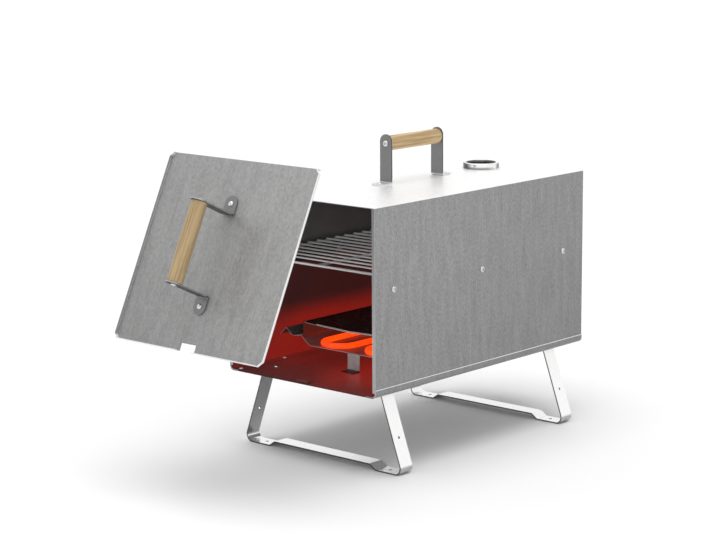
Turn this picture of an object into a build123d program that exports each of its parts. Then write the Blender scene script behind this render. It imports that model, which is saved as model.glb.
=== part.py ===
"""An electric table smoker: a sheet steel box on two bent strip legs, with a lift-off door that has
a wooden grip, a carrying handle, a vent collar, a wire grate, a drip tray, a chip tray and an element.

Millimetres. X is across the box, Y runs from the open front to the back, Z is up. The origin is on
the floor, in the middle of the four holes in the feet. The door stands as it is lifted off, tilted.
"""

import os
from math import asin, cos, radians, sin, tan

from build123d import *

# Box
body_width = 280.0
body_depth = 480.0
body_height = 265.0
sheet = 0.8
roof_bend = 1.6
seam_flange = 17.0
seam_height = 12.0
pan_bend = 6.0
front_lip = 4.5
back_lip = 12.0
back_panel_rise = 4.0

# Legs
leg_height = 117.4
front_overhang = 54.0
back_overhang = 50.0
leg_width = 25.0
leg_strip = 2.0
leg_top_half = 112.3
leg_splay = 19.6
leg_tab = 27.0
leg_corner = 10.0
foot_inner_half = 103.2
foot_rise = 7.0
foot_joggle = 10.0
strip_bend = 4.0
foot_hole_half = 120.0
foot_hole_radius = 2.5
strut_hole_depth = 66.0
strut_hole_radius = 2.0
leg_screw_inset = 13.3

# Lift-off door
door_side_lap = 1.25
door_skirt = 7.0
door_side_rim = 4.4
door_bottom_rim = 9.0
door_top_rim = 8.0
door_bend = 1.8
door_chamfer = 7.5
door_gap = 0.3
door_over_roof = 0.5
notch_width = 27.5
notch_height = 12.0
door_tilt = 25.5
swing_axis_back = 89.14
swing_axis_rise = 526.39
door_grip_height = 137.1

# Wooden grips and their bent arms
grip_length = 114.0
grip_diameter = 22.0
grip_chamfer = 1.5
grip_rise = 59.0
arm_strip = 2.0
arm_width = 22.0
arm_height = 72.5
arm_bend = 2.5
arm_foot = 27.5
arm_rivet_reach = 15.8
grip_screw_length = 26.0
carry_offset = 4.6

# Vent collar
vent_back = 72.0
vent_outer_radius = 27.4
vent_inner_radius = 22.4
vent_height = 9.0
vent_round = 2.4
vent_spigot = 4.0
vent_spigot_wall = 0.8

# Grate and its rails
rail_top = 163.5
rail_leg = 23.5
rail_ledge = 11.0
rail_strip = 1.2
rail_bend = 1.8
rail_setback = 16.0
rail_screw_drop = 15.5
rail_screw_front = 40.0
rail_screw_back = 50.0
grate_setback = 36.0
grate_side_gap = 8.2
frame_wire = 4.0
cross_wire = 3.0
cross_wires = 19
weld_sink = 0.5
grate_corner = 8.0

# Chip tray on its two bent brackets
tray_setback = 103.0
tray_back_inset = 100.0
tray_flat_half = 76.0
tray_floor = 27.0
tray_slope_half = 81.0
tray_slope_foot = 28.0
tray_rim_half = 95.0
tray_rim = 40.3
tray_valley_inset = 26.2
tray_valley = 37.8
tray_apex_inset = 13.7
tray_apex = 48.0
tray_tip_gap = 2.4
tray_tip = 36.8
tray_bend = 1.2
bracket_width = 23.0
bracket_centre = 8.5
bracket_strip = 1.2
bracket_foot = 14.0
bracket_bend = 1.8
bracket_rear_inset = 20.0

# Drip tray
drip_side_gap = 5.0
drip_edge = 62.0
drip_lip_inset = 6.0
drip_lip = 60.4
drip_well_inset = 26.0
drip_well = 59.4
drip_middle = 57.4
drip_bend = 1.2
drip_short = 7.0
drip_upstand = 2.0

# Heating element
element_radius = 4.0
element_over_tray = 0.4
element_front = 108.0
element_outer_half = 69.5
element_inner_half = 16.5
element_return_inset = 150.0
element_turn_inset = 110.0
element_tail_inset = 60.0
element_pin_half = 20.0
element_turn_radius = 20.0
element_tail = 8.0
pin_radius = 1.8
pin_length = 6.0
plate_width = 90.0
plate_height = 26.0
plate_strip = 1.5
plate_screw_half = 38.0

# Terminal cover, appliance inlet and reset button on the back
cover_width = 110.0
cover_height = 60.0
cover_depth = 38.0
cover_wall = 2.0
cover_corner = 6.0
cover_round = 3.5
cover_ear = 12.0
cover_screw_rise = 18.0
inlet_centre = -22.0
inlet_body_width = 27.2
inlet_body_height = 19.6
inlet_depth = 17.0
inlet_wall = 1.6
inlet_flange_width = 50.0
inlet_flange_height = 24.0
inlet_flange = 2.0
inlet_screw_half = 20.0
blade_width = 2.0
blade_height = 4.0
blade_length = 12.0
blade_tab = 5.0
blade_pitch = 7.0
blade_offset = 2.0
cutout_centre = 32.0
cutout_radius = 8.0
cutout_depth = 12.0
cutout_neck_radius = 5.5
cutout_neck = 3.0
cutout_bore_radius = 3.8
button_radius = 3.4
button_length = 12.0
button_proud = 3.5
button_travel = 2.0

# Fasteners
hole_clearance = 0.05
pan_rivet_radius = 1.6
pan_rivet_head_radius = 3.0
pan_rivet_head = 1.0
pan_rivet_inset = 11.9
pan_rivet_first = 10.0
pan_rivet_count = 6
pan_back_rivet_half = 100.0
back_rivet_low = 40.0
back_rivet_high = 30.0
roof_rivet_half = 70.0
arm_rivet_radius = 2.0
arm_rivet_head_radius = 4.0
arm_rivet_head = 2.2
screw_radius = 2.5
screw_head_radius = 4.5
screw_head = 2.6
small_screw_radius = 1.5
small_screw_head_radius = 2.8
small_screw_head = 1.6
nut_flats = 8.0
nut_height = 4.0
slot_width = 1.2
slot_depth = 1.0
catch_width = 21.0
catch_height = 5.0
catch_length = 12.0
catch_setback = 3.0
catch_rivet_inset = 4.0
panel_corner = 4.0
plate_corner = 4.0
seat_gap = 0.3

# Sizes and places that follow from the ones above
leg_spacing = body_depth - front_overhang - back_overhang
door_width = body_width + 2 * door_side_lap
door_height = body_height + door_over_roof + sheet + door_skirt
grate_length = body_depth - 2 * grate_setback
tray_length = body_depth - tray_setback - tray_back_inset
drip_length = tray_length - drip_short
drip_half = tray_rim_half - drip_side_gap
drip_lip_half = drip_half - drip_lip_inset
drip_well_half = drip_half - drip_well_inset
leg_screw_half = leg_top_half - leg_screw_inset
front_y = -(leg_spacing / 2 + front_overhang)
back_y = front_y + body_depth
floor_z = leg_height
roof_z = leg_height + body_height
pan_top = floor_z + sheet
side_half = body_width / 2
wall_inner = side_half - sheet
grate_width = 2 * (wall_inner - grate_side_gap)
tray_valley_half = wall_inner - tray_valley_inset
tray_apex_half = wall_inner - tray_apex_inset
tray_tip_half = wall_inner - tray_tip_gap
panel_back_y = back_y + sheet
handle_y = front_y + body_depth / 2 + carry_offset
vent_y = back_y - vent_back
element_z = floor_z + tray_floor + sheet / 2 + element_over_tray + element_radius


def axis_point_arc(radius, height):
    """The middle point of a round cap of this radius and height, from its rim to its top."""
    ball = (radius**2 + height**2) / (2 * height)
    half_angle = asin(radius / ball) / 2
    return ball * sin(half_angle), height - ball + ball * cos(half_angle)


def make_rivet(radius, head_radius, head, grip):
    """A dome-headed rivet on +Z: head seated on z = 0, shank through the grip, closed tail below."""
    tail_radius = radius * 1.6
    tail = head * 0.7
    with BuildPart() as rivet:
        with BuildSketch(Plane.XZ):
            with BuildLine():
                ThreePointArc((head_radius, 0), axis_point_arc(head_radius, head), (0, head))
                Polyline(
                    (0, head),
                    (0, -grip - tail),
                    (tail_radius, -grip - tail),
                    (tail_radius, -grip),
                    (radius, -grip),
                    (radius, 0),
                    (head_radius, 0),
                )
            make_face()
        revolve(axis=Axis.Z)
    return rivet.part


def make_screw(radius, head_radius, head, length):
    """A slotted pan-head screw on +Z: head seated on z = 0, plain shank below it."""
    with BuildPart() as screw:
        with BuildSketch(Plane.XZ):
            with BuildLine():
                ThreePointArc((head_radius, 0), axis_point_arc(head_radius, head), (0, head))
                Polyline((0, head), (0, -length), (radius, -length), (radius, 0), (head_radius, 0))
            make_face()
        revolve(axis=Axis.Z)
        with BuildSketch(Plane.XY.offset(head)):
            Rectangle(2 * head_radius, slot_width)
        extrude(amount=-slot_depth, mode=Mode.SUBTRACT)
    return screw.part


def make_nut(flats, height, bore_radius):
    """A plain hexagon nut that hangs below z = 0."""
    with BuildPart() as nut:
        with BuildSketch(Plane.XY):
            RegularPolygon(radius=flats / 2, side_count=6, major_radius=False)
            Circle(bore_radius, mode=Mode.SUBTRACT)
        extrude(amount=-height)
    return nut.part


def make_set(piece, planes):
    """Copies of one fastener, one on each plane, as separate solids."""
    with BuildPart() as group:
        with Locations(*planes):
            add(piece)
    return group


def save(builder, name):
    """Labels a finished piece and writes it."""
    builder.part.label = name
    export_step(builder.part, f"parts/{name}.step")


os.makedirs("parts", exist_ok=True)

# Bottom pan: a floor with upturned sides outside the body and a short upturned back
pan_half = side_half + sheet / 2
pan_z = floor_z + sheet / 2
pan_side_top = floor_z + seam_height
back_flange_half = side_half - seam_flange - 1.0
pan_rivet_x = side_half - pan_rivet_inset
pan_rivet_pitch = (body_depth - 2 * pan_rivet_first) / (pan_rivet_count - 1)
pan_rivet_places = [
    (side * pan_rivet_x, front_y + pan_rivet_first + n * pan_rivet_pitch)
    for side in (-1, 1)
    for n in range(pan_rivet_count)
]
leg_ys = (-leg_spacing / 2, leg_spacing / 2)
leg_screw_places = [(side * leg_screw_half, y) for side in (-1, 1) for y in leg_ys]
catch_rivet_y = front_y + catch_setback + catch_length - catch_rivet_inset
pan_back_rivets = [(side * pan_back_rivet_half, floor_z + seam_height * 0.6) for side in (-1, 1)]
bracket_ys = (front_y + tray_setback, front_y + tray_setback + tray_length - bracket_rear_inset)
with BuildPart() as bottom_pan:
    with BuildSketch(Plane.XZ.offset(-front_y)):
        with BuildLine():
            FilletPolyline(
                (-pan_half, pan_side_top),
                (-pan_half, pan_z),
                (pan_half, pan_z),
                (pan_half, pan_side_top),
                radius=pan_bend + sheet / 2,
            )
        trace(line_width=sheet)
    extrude(amount=-body_depth)
    with BuildSketch(Plane.XY.offset(floor_z)):
        with Locations((0, back_y - sheet / 2)):
            Rectangle(2 * back_flange_half, sheet)
    extrude(amount=seam_height)
    with BuildSketch(Plane.XZ.offset(-back_y)):
        with Locations(*pan_back_rivets):
            Circle(pan_rivet_radius + hole_clearance)
    extrude(amount=sheet, mode=Mode.SUBTRACT)
    with BuildSketch(Plane.XY.offset(pan_top)):
        with Locations(*pan_rivet_places):
            Circle(pan_rivet_radius + hole_clearance)
        with Locations(*leg_screw_places):
            Circle(screw_radius + hole_clearance)
        with Locations((0, catch_rivet_y)):
            Circle(pan_rivet_radius + hole_clearance)
    extrude(amount=-sheet, mode=Mode.SUBTRACT)
save(bottom_pan, "bottom_pan")

# Body shell: roof and two sides in one sheet, seam flanges below, lips round the front and back
shell_half = side_half - sheet / 2
shell_low = pan_top + sheet / 2
shell_high = roof_z - sheet / 2
rail_screw_ends = (front_y + rail_screw_front, back_y - rail_screw_back)
rail_screw_ys = (rail_screw_ends[0], sum(rail_screw_ends) / 2, rail_screw_ends[1])
rail_screw_places = [(y, floor_z + rail_top - rail_screw_drop) for y in rail_screw_ys]
back_rivet_x = side_half - back_lip / 2 - sheet
back_rivet_pitch = (body_height - back_rivet_low - back_rivet_high) / 3
back_rivet_zs = [floor_z + back_rivet_low + n * back_rivet_pitch for n in range(4)]
back_rivet_places = [(side * back_rivet_x, z) for side in (-1, 1) for z in back_rivet_zs]
back_rivet_places += [(side * roof_rivet_half, roof_z - sheet - back_lip / 2) for side in (-1, 0, 1)]
carry_rivet_ys = [
    handle_y + side * (grip_length / 2 + arm_rivet_reach) for side in (-1, 1)
]
with BuildPart() as body_shell:
    with BuildSketch(Plane.XZ.offset(-front_y)):
        with BuildLine():
            FilletPolyline(
                (-side_half + seam_flange, shell_low),
                (-shell_half, shell_low),
                (-shell_half, shell_high),
                (shell_half, shell_high),
                (shell_half, shell_low),
                (side_half - seam_flange, shell_low),
                radius=[pan_bend + sheet / 2, roof_bend, roof_bend, pan_bend + sheet / 2],
            )
        trace(line_width=sheet)
    extrude(amount=-body_depth)
    lip_low = shell_low + pan_bend + sheet / 2
    with BuildSketch(Plane.XZ.offset(-front_y)):
        with Locations(*[(side * (shell_half - front_lip / 2), (lip_low + shell_high) / 2) for side in (-1, 1)]):
            Rectangle(front_lip, shell_high - lip_low)
    extrude(amount=-sheet)
    with BuildSketch(Plane.XZ.offset(-back_y)):
        with Locations(*[(side * (shell_half - back_lip / 2), (lip_low + shell_high) / 2) for side in (-1, 1)]):
            Rectangle(back_lip, shell_high - lip_low)
        with Locations((0, shell_high - back_lip / 2)):
            Rectangle(2 * shell_half, back_lip)
        with Locations(*back_rivet_places):
            Circle(pan_rivet_radius + hole_clearance, mode=Mode.SUBTRACT)
    extrude(amount=sheet)
    with BuildSketch(Plane.XY.offset(pan_top)):
        with Locations(*pan_rivet_places):
            Circle(pan_rivet_radius + hole_clearance)
    extrude(amount=sheet, mode=Mode.SUBTRACT)
    with BuildSketch(Plane.XY.offset(roof_z)):
        with Locations((0, vent_y)):
            Circle(vent_inner_radius)
        with Locations(*[(0, y) for y in carry_rivet_ys]):
            Circle(arm_rivet_radius + hole_clearance)
    extrude(amount=-sheet, mode=Mode.SUBTRACT)
    with BuildSketch(Plane.YZ):
        with Locations(*rail_screw_places):
            Circle(screw_radius + hole_clearance)
    extrude(amount=side_half, both=True, mode=Mode.SUBTRACT)
save(body_shell, "body_shell")

# Back panel, flat against the lips and the pan's back flange
panel_low = floor_z + back_panel_rise
panel_high = roof_z - roof_bend
cover_z = element_z
cover_screw_places = [
    (side * (cover_width + cover_ear) / 2, cover_z + rise)
    for side in (-1, 1)
    for rise in (-cover_screw_rise, cover_screw_rise)
]
plate_screw_places = [(side * plate_screw_half, element_z) for side in (-1, 1)]
with BuildPart() as back_panel:
    with BuildSketch(Plane.XZ.offset(-back_y)):
        with Locations((0, (panel_low + panel_high) / 2)):
            RectangleRounded(body_width - 2 * roof_bend, panel_high - panel_low, panel_corner)
        with Locations(*back_rivet_places, *pan_back_rivets):
            Circle(pan_rivet_radius + hole_clearance, mode=Mode.SUBTRACT)
        with Locations(*[(side * element_pin_half, element_z) for side in (-1, 1)]):
            Circle(element_radius + hole_clearance, mode=Mode.SUBTRACT)
        with Locations(*cover_screw_places, *plate_screw_places):
            Circle(small_screw_radius + hole_clearance, mode=Mode.SUBTRACT)
    extrude(amount=-sheet)
save(back_panel, "back_panel")

# Rivets of the floor seams and of the back
seam_rivet = make_rivet(pan_rivet_radius, pan_rivet_head_radius, pan_rivet_head, 2 * sheet)
pan_rivets = make_set(seam_rivet, [Plane((x, y, pan_top + sheet)) for x, y in pan_rivet_places])
save(pan_rivets, "pan_rivets")
back_rivets = make_set(
    seam_rivet,
    [
        Plane((x, panel_back_y, z), x_dir=(1, 0, 0), z_dir=(0, 1, 0))
        for x, z in back_rivet_places + pan_back_rivets
    ],
)
save(back_rivets, "back_rivets")

# Catch in the middle of the front edge, which the notch of the door fits round
with BuildPart() as door_catch:
    with BuildSketch(Plane.YZ):
        with BuildLine():
            FilletPolyline(
                (front_y + catch_setback + sheet / 2, pan_top + catch_height),
                (front_y + catch_setback + sheet / 2, pan_top + sheet / 2),
                (front_y + catch_setback + catch_length, pan_top + sheet / 2),
                radius=sheet,
            )
        trace(line_width=sheet)
    extrude(amount=catch_width / 2, both=True)
    with BuildSketch(Plane.XY.offset(pan_top)):
        with Locations((0, catch_rivet_y)):
            Circle(pan_rivet_radius + hole_clearance)
    extrude(amount=sheet, mode=Mode.SUBTRACT)
save(door_catch, "door_catch")
catch_rivet = make_set(seam_rivet, [Plane((0, catch_rivet_y, pan_top + sheet))])
save(catch_rivet, "catch_rivet")


def make_leg(leg_y):
    """One leg frame: a strip bent into two splayed struts, two feet and a raised bar between them."""
    top = floor_z - leg_strip / 2
    low = leg_strip / 2
    splay = tan(radians(leg_splay))
    corner_half = leg_top_half + splay * (top - low)
    outline = [
        (leg_top_half - leg_tab, top),
        (leg_top_half, top),
        (corner_half, low),
        (foot_inner_half, low),
        (foot_inner_half - foot_joggle, low + foot_rise),
    ]
    mirrored = [(-x, z) for x, z in reversed(outline)]
    bends = [strip_bend, leg_corner, strip_bend, strip_bend]
    strut_hole_z = floor_z - strut_hole_depth
    strut_hole_half = leg_top_half + splay * (top - strut_hole_z)
    with BuildPart() as leg:
        with BuildSketch(Plane.XZ.offset(-leg_y)):
            with BuildLine():
                FilletPolyline(*outline, *mirrored, radius=bends + bends[::-1])
            trace(line_width=leg_strip)
        extrude(amount=leg_width / 2, both=True)
        with BuildSketch(Plane.XY.offset(floor_z)):
            with Locations(*[(side * leg_screw_half, leg_y) for side in (-1, 1)]):
                Circle(screw_radius + hole_clearance)
        extrude(amount=-leg_strip, mode=Mode.SUBTRACT)
        with BuildSketch(Plane.XY):
            with Locations(*[(side * foot_hole_half, leg_y) for side in (-1, 1)]):
                Circle(foot_hole_radius)
        extrude(amount=leg_strip, mode=Mode.SUBTRACT)
        for side in (-1, 1):
            across = (side * cos(radians(leg_splay)), 0, sin(radians(leg_splay)))
            with BuildSketch(Plane((side * strut_hole_half, leg_y, strut_hole_z), z_dir=across)):
                Circle(strut_hole_radius)
            extrude(amount=2 * leg_strip, both=True, mode=Mode.SUBTRACT)
    return leg


for leg_name, leg_y in zip(("front_leg", "rear_leg"), leg_ys):
    save(make_leg(leg_y), leg_name)

leg_screw_length = sheet + leg_strip + nut_height + 1.0
leg_screw = make_screw(screw_radius, screw_head_radius, screw_head, leg_screw_length)
leg_screws = make_set(leg_screw, [Plane((x, y, pan_top)) for x, y in leg_screw_places])
save(leg_screws, "leg_screws")
plain_nut = make_nut(nut_flats, nut_height, screw_radius + hole_clearance)
leg_nuts = make_set(plain_nut, [Plane((x, y, floor_z - leg_strip)) for x, y in leg_screw_places])
save(leg_nuts, "leg_nuts")


# Grips: each is a turned wooden bar between two bent strips with rounded ends
def make_arm(base, side):
    """One strip of a grip on its base plane, whose y runs along the grip and z away from the sheet."""
    foot_end = grip_length / 2 + arm_foot
    upright = grip_length / 2 + arm_strip / 2
    profile = Plane(origin=base.origin, x_dir=base.y_dir, z_dir=base.x_dir)
    round_end = arm_width / 2 - 0.05
    with BuildPart() as arm:
        with BuildSketch(profile):
            with BuildLine():
                FilletPolyline(
                    (side * foot_end, arm_strip / 2),
                    (side * upright, arm_strip / 2),
                    (side * upright, arm_height),
                    radius=arm_bend,
                )
            trace(line_width=arm_strip)
        extrude(amount=arm_width / 2, both=True)
        along = Axis(base.origin, base.y_dir * side)
        away = Axis(base.origin, base.z_dir)
        fillet(arm.edges().filter_by(along).group_by(away)[-1], radius=round_end)
        fillet(arm.edges().filter_by(away).group_by(along)[-1], radius=round_end)
        with BuildSketch(base):
            with Locations((0, side * (grip_length / 2 + arm_rivet_reach))):
                Circle(arm_rivet_radius + hole_clearance)
        extrude(amount=arm_strip, mode=Mode.SUBTRACT)
        with BuildSketch(Plane(base.origin, x_dir=base.x_dir, z_dir=base.y_dir)):
            with Locations((0, -grip_rise)):
                Circle(screw_radius + hole_clearance)
        extrude(amount=side * (grip_length / 2 + arm_strip), mode=Mode.SUBTRACT)
    return arm


def make_grip(base):
    """The turned wooden bar between the strips, with a pilot hole in each end."""
    ends = Plane(base.origin + base.z_dir * grip_rise, x_dir=base.x_dir, z_dir=base.y_dir)
    with BuildPart() as grip:
        with BuildSketch(ends):
            Circle(grip_diameter / 2)
        extrude(amount=grip_length / 2, both=True)
        chamfer(grip.edges().filter_by(GeomType.CIRCLE), length=grip_chamfer)
        for side in (-1, 1):
            with BuildSketch(ends.offset(side * grip_length / 2)):
                Circle(screw_radius + hole_clearance)
            extrude(amount=-side * grip_screw_length, mode=Mode.SUBTRACT)
    return grip


def make_handle(base, name, arm_names, sheets):
    """A whole grip on a sheet: bar, two arms, their rivets and the two end screws."""
    save(make_grip(base), f"{name}_grip")
    rivet_planes = []
    screw_planes = []
    for side, arm_name in zip((-1, 1), arm_names):
        save(make_arm(base, side), f"{name}_{arm_name}")
        reach = base.y_dir * side * (grip_length / 2 + arm_rivet_reach)
        foot = base.origin + reach + base.z_dir * arm_strip
        rivet_planes.append(Plane(foot, x_dir=base.x_dir, z_dir=base.z_dir))
        end = base.y_dir * side * (grip_length / 2 + arm_strip)
        head = base.origin + end + base.z_dir * grip_rise
        screw_planes.append(Plane(head, x_dir=base.x_dir, z_dir=base.y_dir * side))
    rivet = make_rivet(arm_rivet_radius, arm_rivet_head_radius, arm_rivet_head, arm_strip + sheets)
    save(make_set(rivet, rivet_planes), f"{name}_rivets")
    screw = make_screw(screw_radius, screw_head_radius, screw_head, grip_screw_length)
    save(make_set(screw, screw_planes), f"{name}_screws")


carry_base = Plane((0, handle_y, roof_z), x_dir=(1, 0, 0), z_dir=(0, 0, 1))
make_handle(carry_base, "carry", ("arm_front", "arm_rear"), sheet)

# Door, drawn shut on the front of the box and then swung up and away about a line above it
turn = radians(-door_tilt)
shut_y = -(swing_axis_back + door_gap + sheet)
shut_z = -(swing_axis_rise + door_skirt)
door_origin = (
    0,
    front_y + swing_axis_back + shut_y * cos(turn) - shut_z * sin(turn),
    floor_z + swing_axis_rise + shut_y * sin(turn) + shut_z * cos(turn),
)
door_face = Plane(door_origin, x_dir=(1, 0, 0), z_dir=(0, -cos(turn), -sin(turn)))
door_grip_base = Plane(
    door_face.origin + door_face.y_dir * door_grip_height, x_dir=(1, 0, 0), z_dir=door_face.z_dir
)
rim_half = door_width / 2 - door_chamfer
door_rivet_rises = [
    door_grip_height + side * (grip_length / 2 + arm_rivet_reach) for side in (-1, 1)
]
door_back = door_face.offset(-sheet)
door_across = Plane(door_face.origin, x_dir=door_face.y_dir, z_dir=door_face.x_dir)
with BuildPart() as door_panel:
    with BuildSketch(door_back):
        with Locations((0, door_height / 2)):
            Rectangle(door_width, door_height)
        chamfer(vertices(), length=door_chamfer)
    extrude(amount=door_side_rim)
    fillet(door_panel.edges().group_by(Axis(door_face.origin, door_face.z_dir))[0], radius=door_bend)
    offset(amount=-sheet, openings=door_panel.faces().sort_by(Axis(door_face.origin, door_face.z_dir))[-1])
    with BuildSketch(door_back):
        with Locations((0, door_height - door_bend / 2)):
            Rectangle(2 * rim_half, door_bend)
    extrude(amount=door_side_rim, mode=Mode.SUBTRACT)
    with BuildSketch(door_across):
        with BuildLine():
            FilletPolyline(
                (door_height - 2 * door_chamfer, -sheet / 2),
                (door_height - sheet / 2, -sheet / 2),
                (door_height - sheet / 2, -door_top_rim),
                radius=door_bend - sheet / 2,
            )
        trace(line_width=sheet)
    extrude(amount=rim_half, both=True)
    with BuildSketch(door_face.offset(sheet)):
        with Locations((0, sheet / 2)):
            Rectangle(2 * rim_half, sheet)
    extrude(amount=door_bottom_rim - 2 * sheet)
    with BuildSketch(door_back):
        Rectangle(notch_width, 2 * notch_height)
    extrude(amount=door_bottom_rim, mode=Mode.SUBTRACT)
    with BuildSketch(door_back):
        with Locations(*[(0, rise) for rise in door_rivet_rises]):
            Circle(arm_rivet_radius + hole_clearance)
    extrude(amount=sheet, mode=Mode.SUBTRACT)
save(door_panel, "door_panel")
make_handle(door_grip_base, "door", ("arm_lower", "arm_upper"), sheet)

# Vent collar: a rolled ring on the roof with a spigot through its hole
with BuildPart() as vent_collar:
    with BuildSketch(Plane.XZ.offset(-vent_y)):
        with Locations(((vent_inner_radius + vent_outer_radius) / 2, roof_z + vent_height / 2)):
            Rectangle(vent_outer_radius - vent_inner_radius, vent_height)
        fillet(vertices().group_by(Axis.Y)[-1], radius=vent_round)
        with Locations((vent_inner_radius - vent_spigot_wall / 2, roof_z + (vent_height / 2 - vent_spigot) / 2)):
            Rectangle(vent_spigot_wall, vent_height / 2 + vent_spigot)
    revolve(axis=Axis((0, vent_y, 0), (0, 0, 1)))
save(vent_collar, "vent_collar")

# Rails that carry the grate, an angle strip on each side wall
for rail_name, side in (("grate_rail_left", -1), ("grate_rail_right", 1)):
    rail_x = side * (wall_inner - rail_strip / 2)
    with BuildPart() as grate_rail:
        with BuildSketch(Plane.XZ.offset(-(front_y + rail_setback))):
            with BuildLine():
                FilletPolyline(
                    (rail_x, floor_z + rail_top - rail_leg),
                    (rail_x, floor_z + rail_top - rail_strip / 2),
                    (side * (wall_inner - rail_ledge), floor_z + rail_top - rail_strip / 2),
                    radius=rail_bend,
                )
            trace(line_width=rail_strip)
        extrude(amount=-(body_depth - 2 * rail_setback))
        with BuildSketch(Plane.YZ):
            with Locations(*rail_screw_places):
                Circle(screw_radius + hole_clearance)
        extrude(amount=side * side_half, mode=Mode.SUBTRACT)
    save(grate_rail, rail_name)

rail_screw_length = sheet + rail_strip + nut_height + 1.0
rail_screw = make_screw(screw_radius, screw_head_radius, screw_head, rail_screw_length)
rail_screws = make_set(
    rail_screw,
    [
        Plane((side * side_half, y, z), x_dir=(0, 1, 0), z_dir=(side, 0, 0))
        for side in (-1, 1)
        for y, z in rail_screw_places
    ],
)
save(rail_screws, "rail_screws")
rail_nuts = make_set(
    plain_nut,
    [
        Plane((side * (wall_inner - rail_strip), y, z), x_dir=(0, 1, 0), z_dir=(side, 0, 0))
        for side in (-1, 1)
        for y, z in rail_screw_places
    ],
)
save(rail_nuts, "rail_nuts")

# Cooking grate: cross wires welded on a round-cornered wire frame with one stiffener
frame_z = floor_z + rail_top + frame_wire / 2
cross_z = frame_z + frame_wire / 2 + cross_wire / 2 - weld_sink
grate_front = front_y + grate_setback
cross_pitch = grate_length / (cross_wires + 1)
frame_half = grate_width / 2
with BuildPart() as cooking_grate:
    with BuildLine(Plane.XY.offset(frame_z)) as frame_path:
        FilletPolyline(
            (frame_half, grate_front),
            (frame_half, grate_front + grate_length),
            (-frame_half, grate_front + grate_length),
            (-frame_half, grate_front),
            radius=grate_corner,
            close=True,
        )
    with BuildSketch(Plane(frame_path.line @ 0, z_dir=frame_path.line % 0)):
        Circle(frame_wire / 2)
    sweep()
    with BuildSketch(Plane.XZ.offset(-grate_front)):
        with Locations((0, frame_z)):
            Circle(frame_wire / 2)
    extrude(amount=-grate_length)
    with BuildSketch(Plane.YZ.offset(-frame_half)):
        with Locations(*[(grate_front + (n + 1) * cross_pitch, cross_z) for n in range(cross_wires)]):
            Circle(cross_wire / 2)
    extrude(amount=2 * frame_half)
save(cooking_grate, "cooking_grate")

# Chip tray: one folded sheet, open at both ends, with a ridge along each side wall
tray_front = front_y + tray_setback
tray_side = [
    (tray_tip_half, floor_z + tray_tip),
    (tray_apex_half, floor_z + tray_apex),
    (tray_valley_half, floor_z + tray_valley),
    (tray_rim_half, floor_z + tray_rim),
    (tray_slope_half, floor_z + tray_slope_foot),
    (tray_flat_half, floor_z + tray_floor),
]
with BuildPart() as chip_tray:
    with BuildSketch(Plane.XZ.offset(-tray_front)):
        with BuildLine():
            FilletPolyline(
                *[(-x, z) for x, z in tray_side],
                *tray_side[::-1],
                radius=tray_bend,
            )
        trace(line_width=sheet)
    extrude(amount=-tray_length)
save(chip_tray, "chip_tray")

# Bent brackets under the chip tray, one foot forward and one foot back
tray_under = floor_z + tray_floor - sheet / 2
for bracket_name, bracket_y, way in zip(("tray_bracket_front", "tray_bracket_rear"), bracket_ys, (1, -1)):
    with BuildPart() as tray_bracket:
        with BuildSketch(Plane.YZ.offset(bracket_centre)):
            with BuildLine():
                FilletPolyline(
                    (bracket_y + way * bracket_foot, tray_under - bracket_strip / 2),
                    (bracket_y + way * bracket_strip / 2, tray_under - bracket_strip / 2),
                    (bracket_y + way * bracket_strip / 2, pan_top + seat_gap + bracket_strip / 2),
                    (bracket_y - way * bracket_foot, pan_top + seat_gap + bracket_strip / 2),
                    radius=bracket_bend,
                )
            trace(line_width=bracket_strip)
        extrude(amount=bracket_width / 2, both=True)
    save(tray_bracket, bracket_name)

# Drip tray: a shallow black tray whose down-turned sides stand between the slopes of the chip tray
slope = (tray_rim - tray_slope_foot) / (tray_rim_half - tray_slope_half)
slope_top_rise = sheet / 2 * (1 + slope**2) ** 0.5
drip_foot_outer = drip_half + sheet / 2
drip_foot_inner = drip_half - sheet / 2
drip_foot = floor_z + tray_slope_foot + slope * (drip_foot_outer - tray_slope_half) + slope_top_rise + seat_gap
drip_side = [
    (drip_half, drip_foot),
    (drip_half, floor_z + drip_edge),
    (drip_lip_half, floor_z + drip_lip),
    (drip_well_half, floor_z + drip_well),
]
drip_bends = [drip_bend, drip_bend, 0]
with BuildPart() as drip_tray:
    with BuildSketch(Plane.XZ.offset(-tray_front)):
        with BuildLine():
            FilletPolyline(
                *[(-x, z) for x, z in drip_side],
                (0, floor_z + drip_middle),
                *drip_side[::-1],
                radius=drip_bends + [0] + drip_bends[::-1],
            )
        trace(line_width=sheet)
    extrude(amount=-drip_length)
    for wall_y in (tray_front, tray_front + drip_length - sheet):
        with BuildSketch(Plane.XZ.offset(-wall_y)):
            with BuildLine():
                Polyline(
                    (-drip_well_half, floor_z + drip_well + drip_upstand),
                    (-drip_well_half, floor_z + drip_well),
                    (0, floor_z + drip_middle),
                    (drip_well_half, floor_z + drip_well),
                    (drip_well_half, floor_z + drip_well + drip_upstand),
                    (0, floor_z + drip_middle + drip_upstand),
                    close=True,
                )
            make_face()
        extrude(amount=-sheet)
save(drip_tray, "drip_tray")

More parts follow.
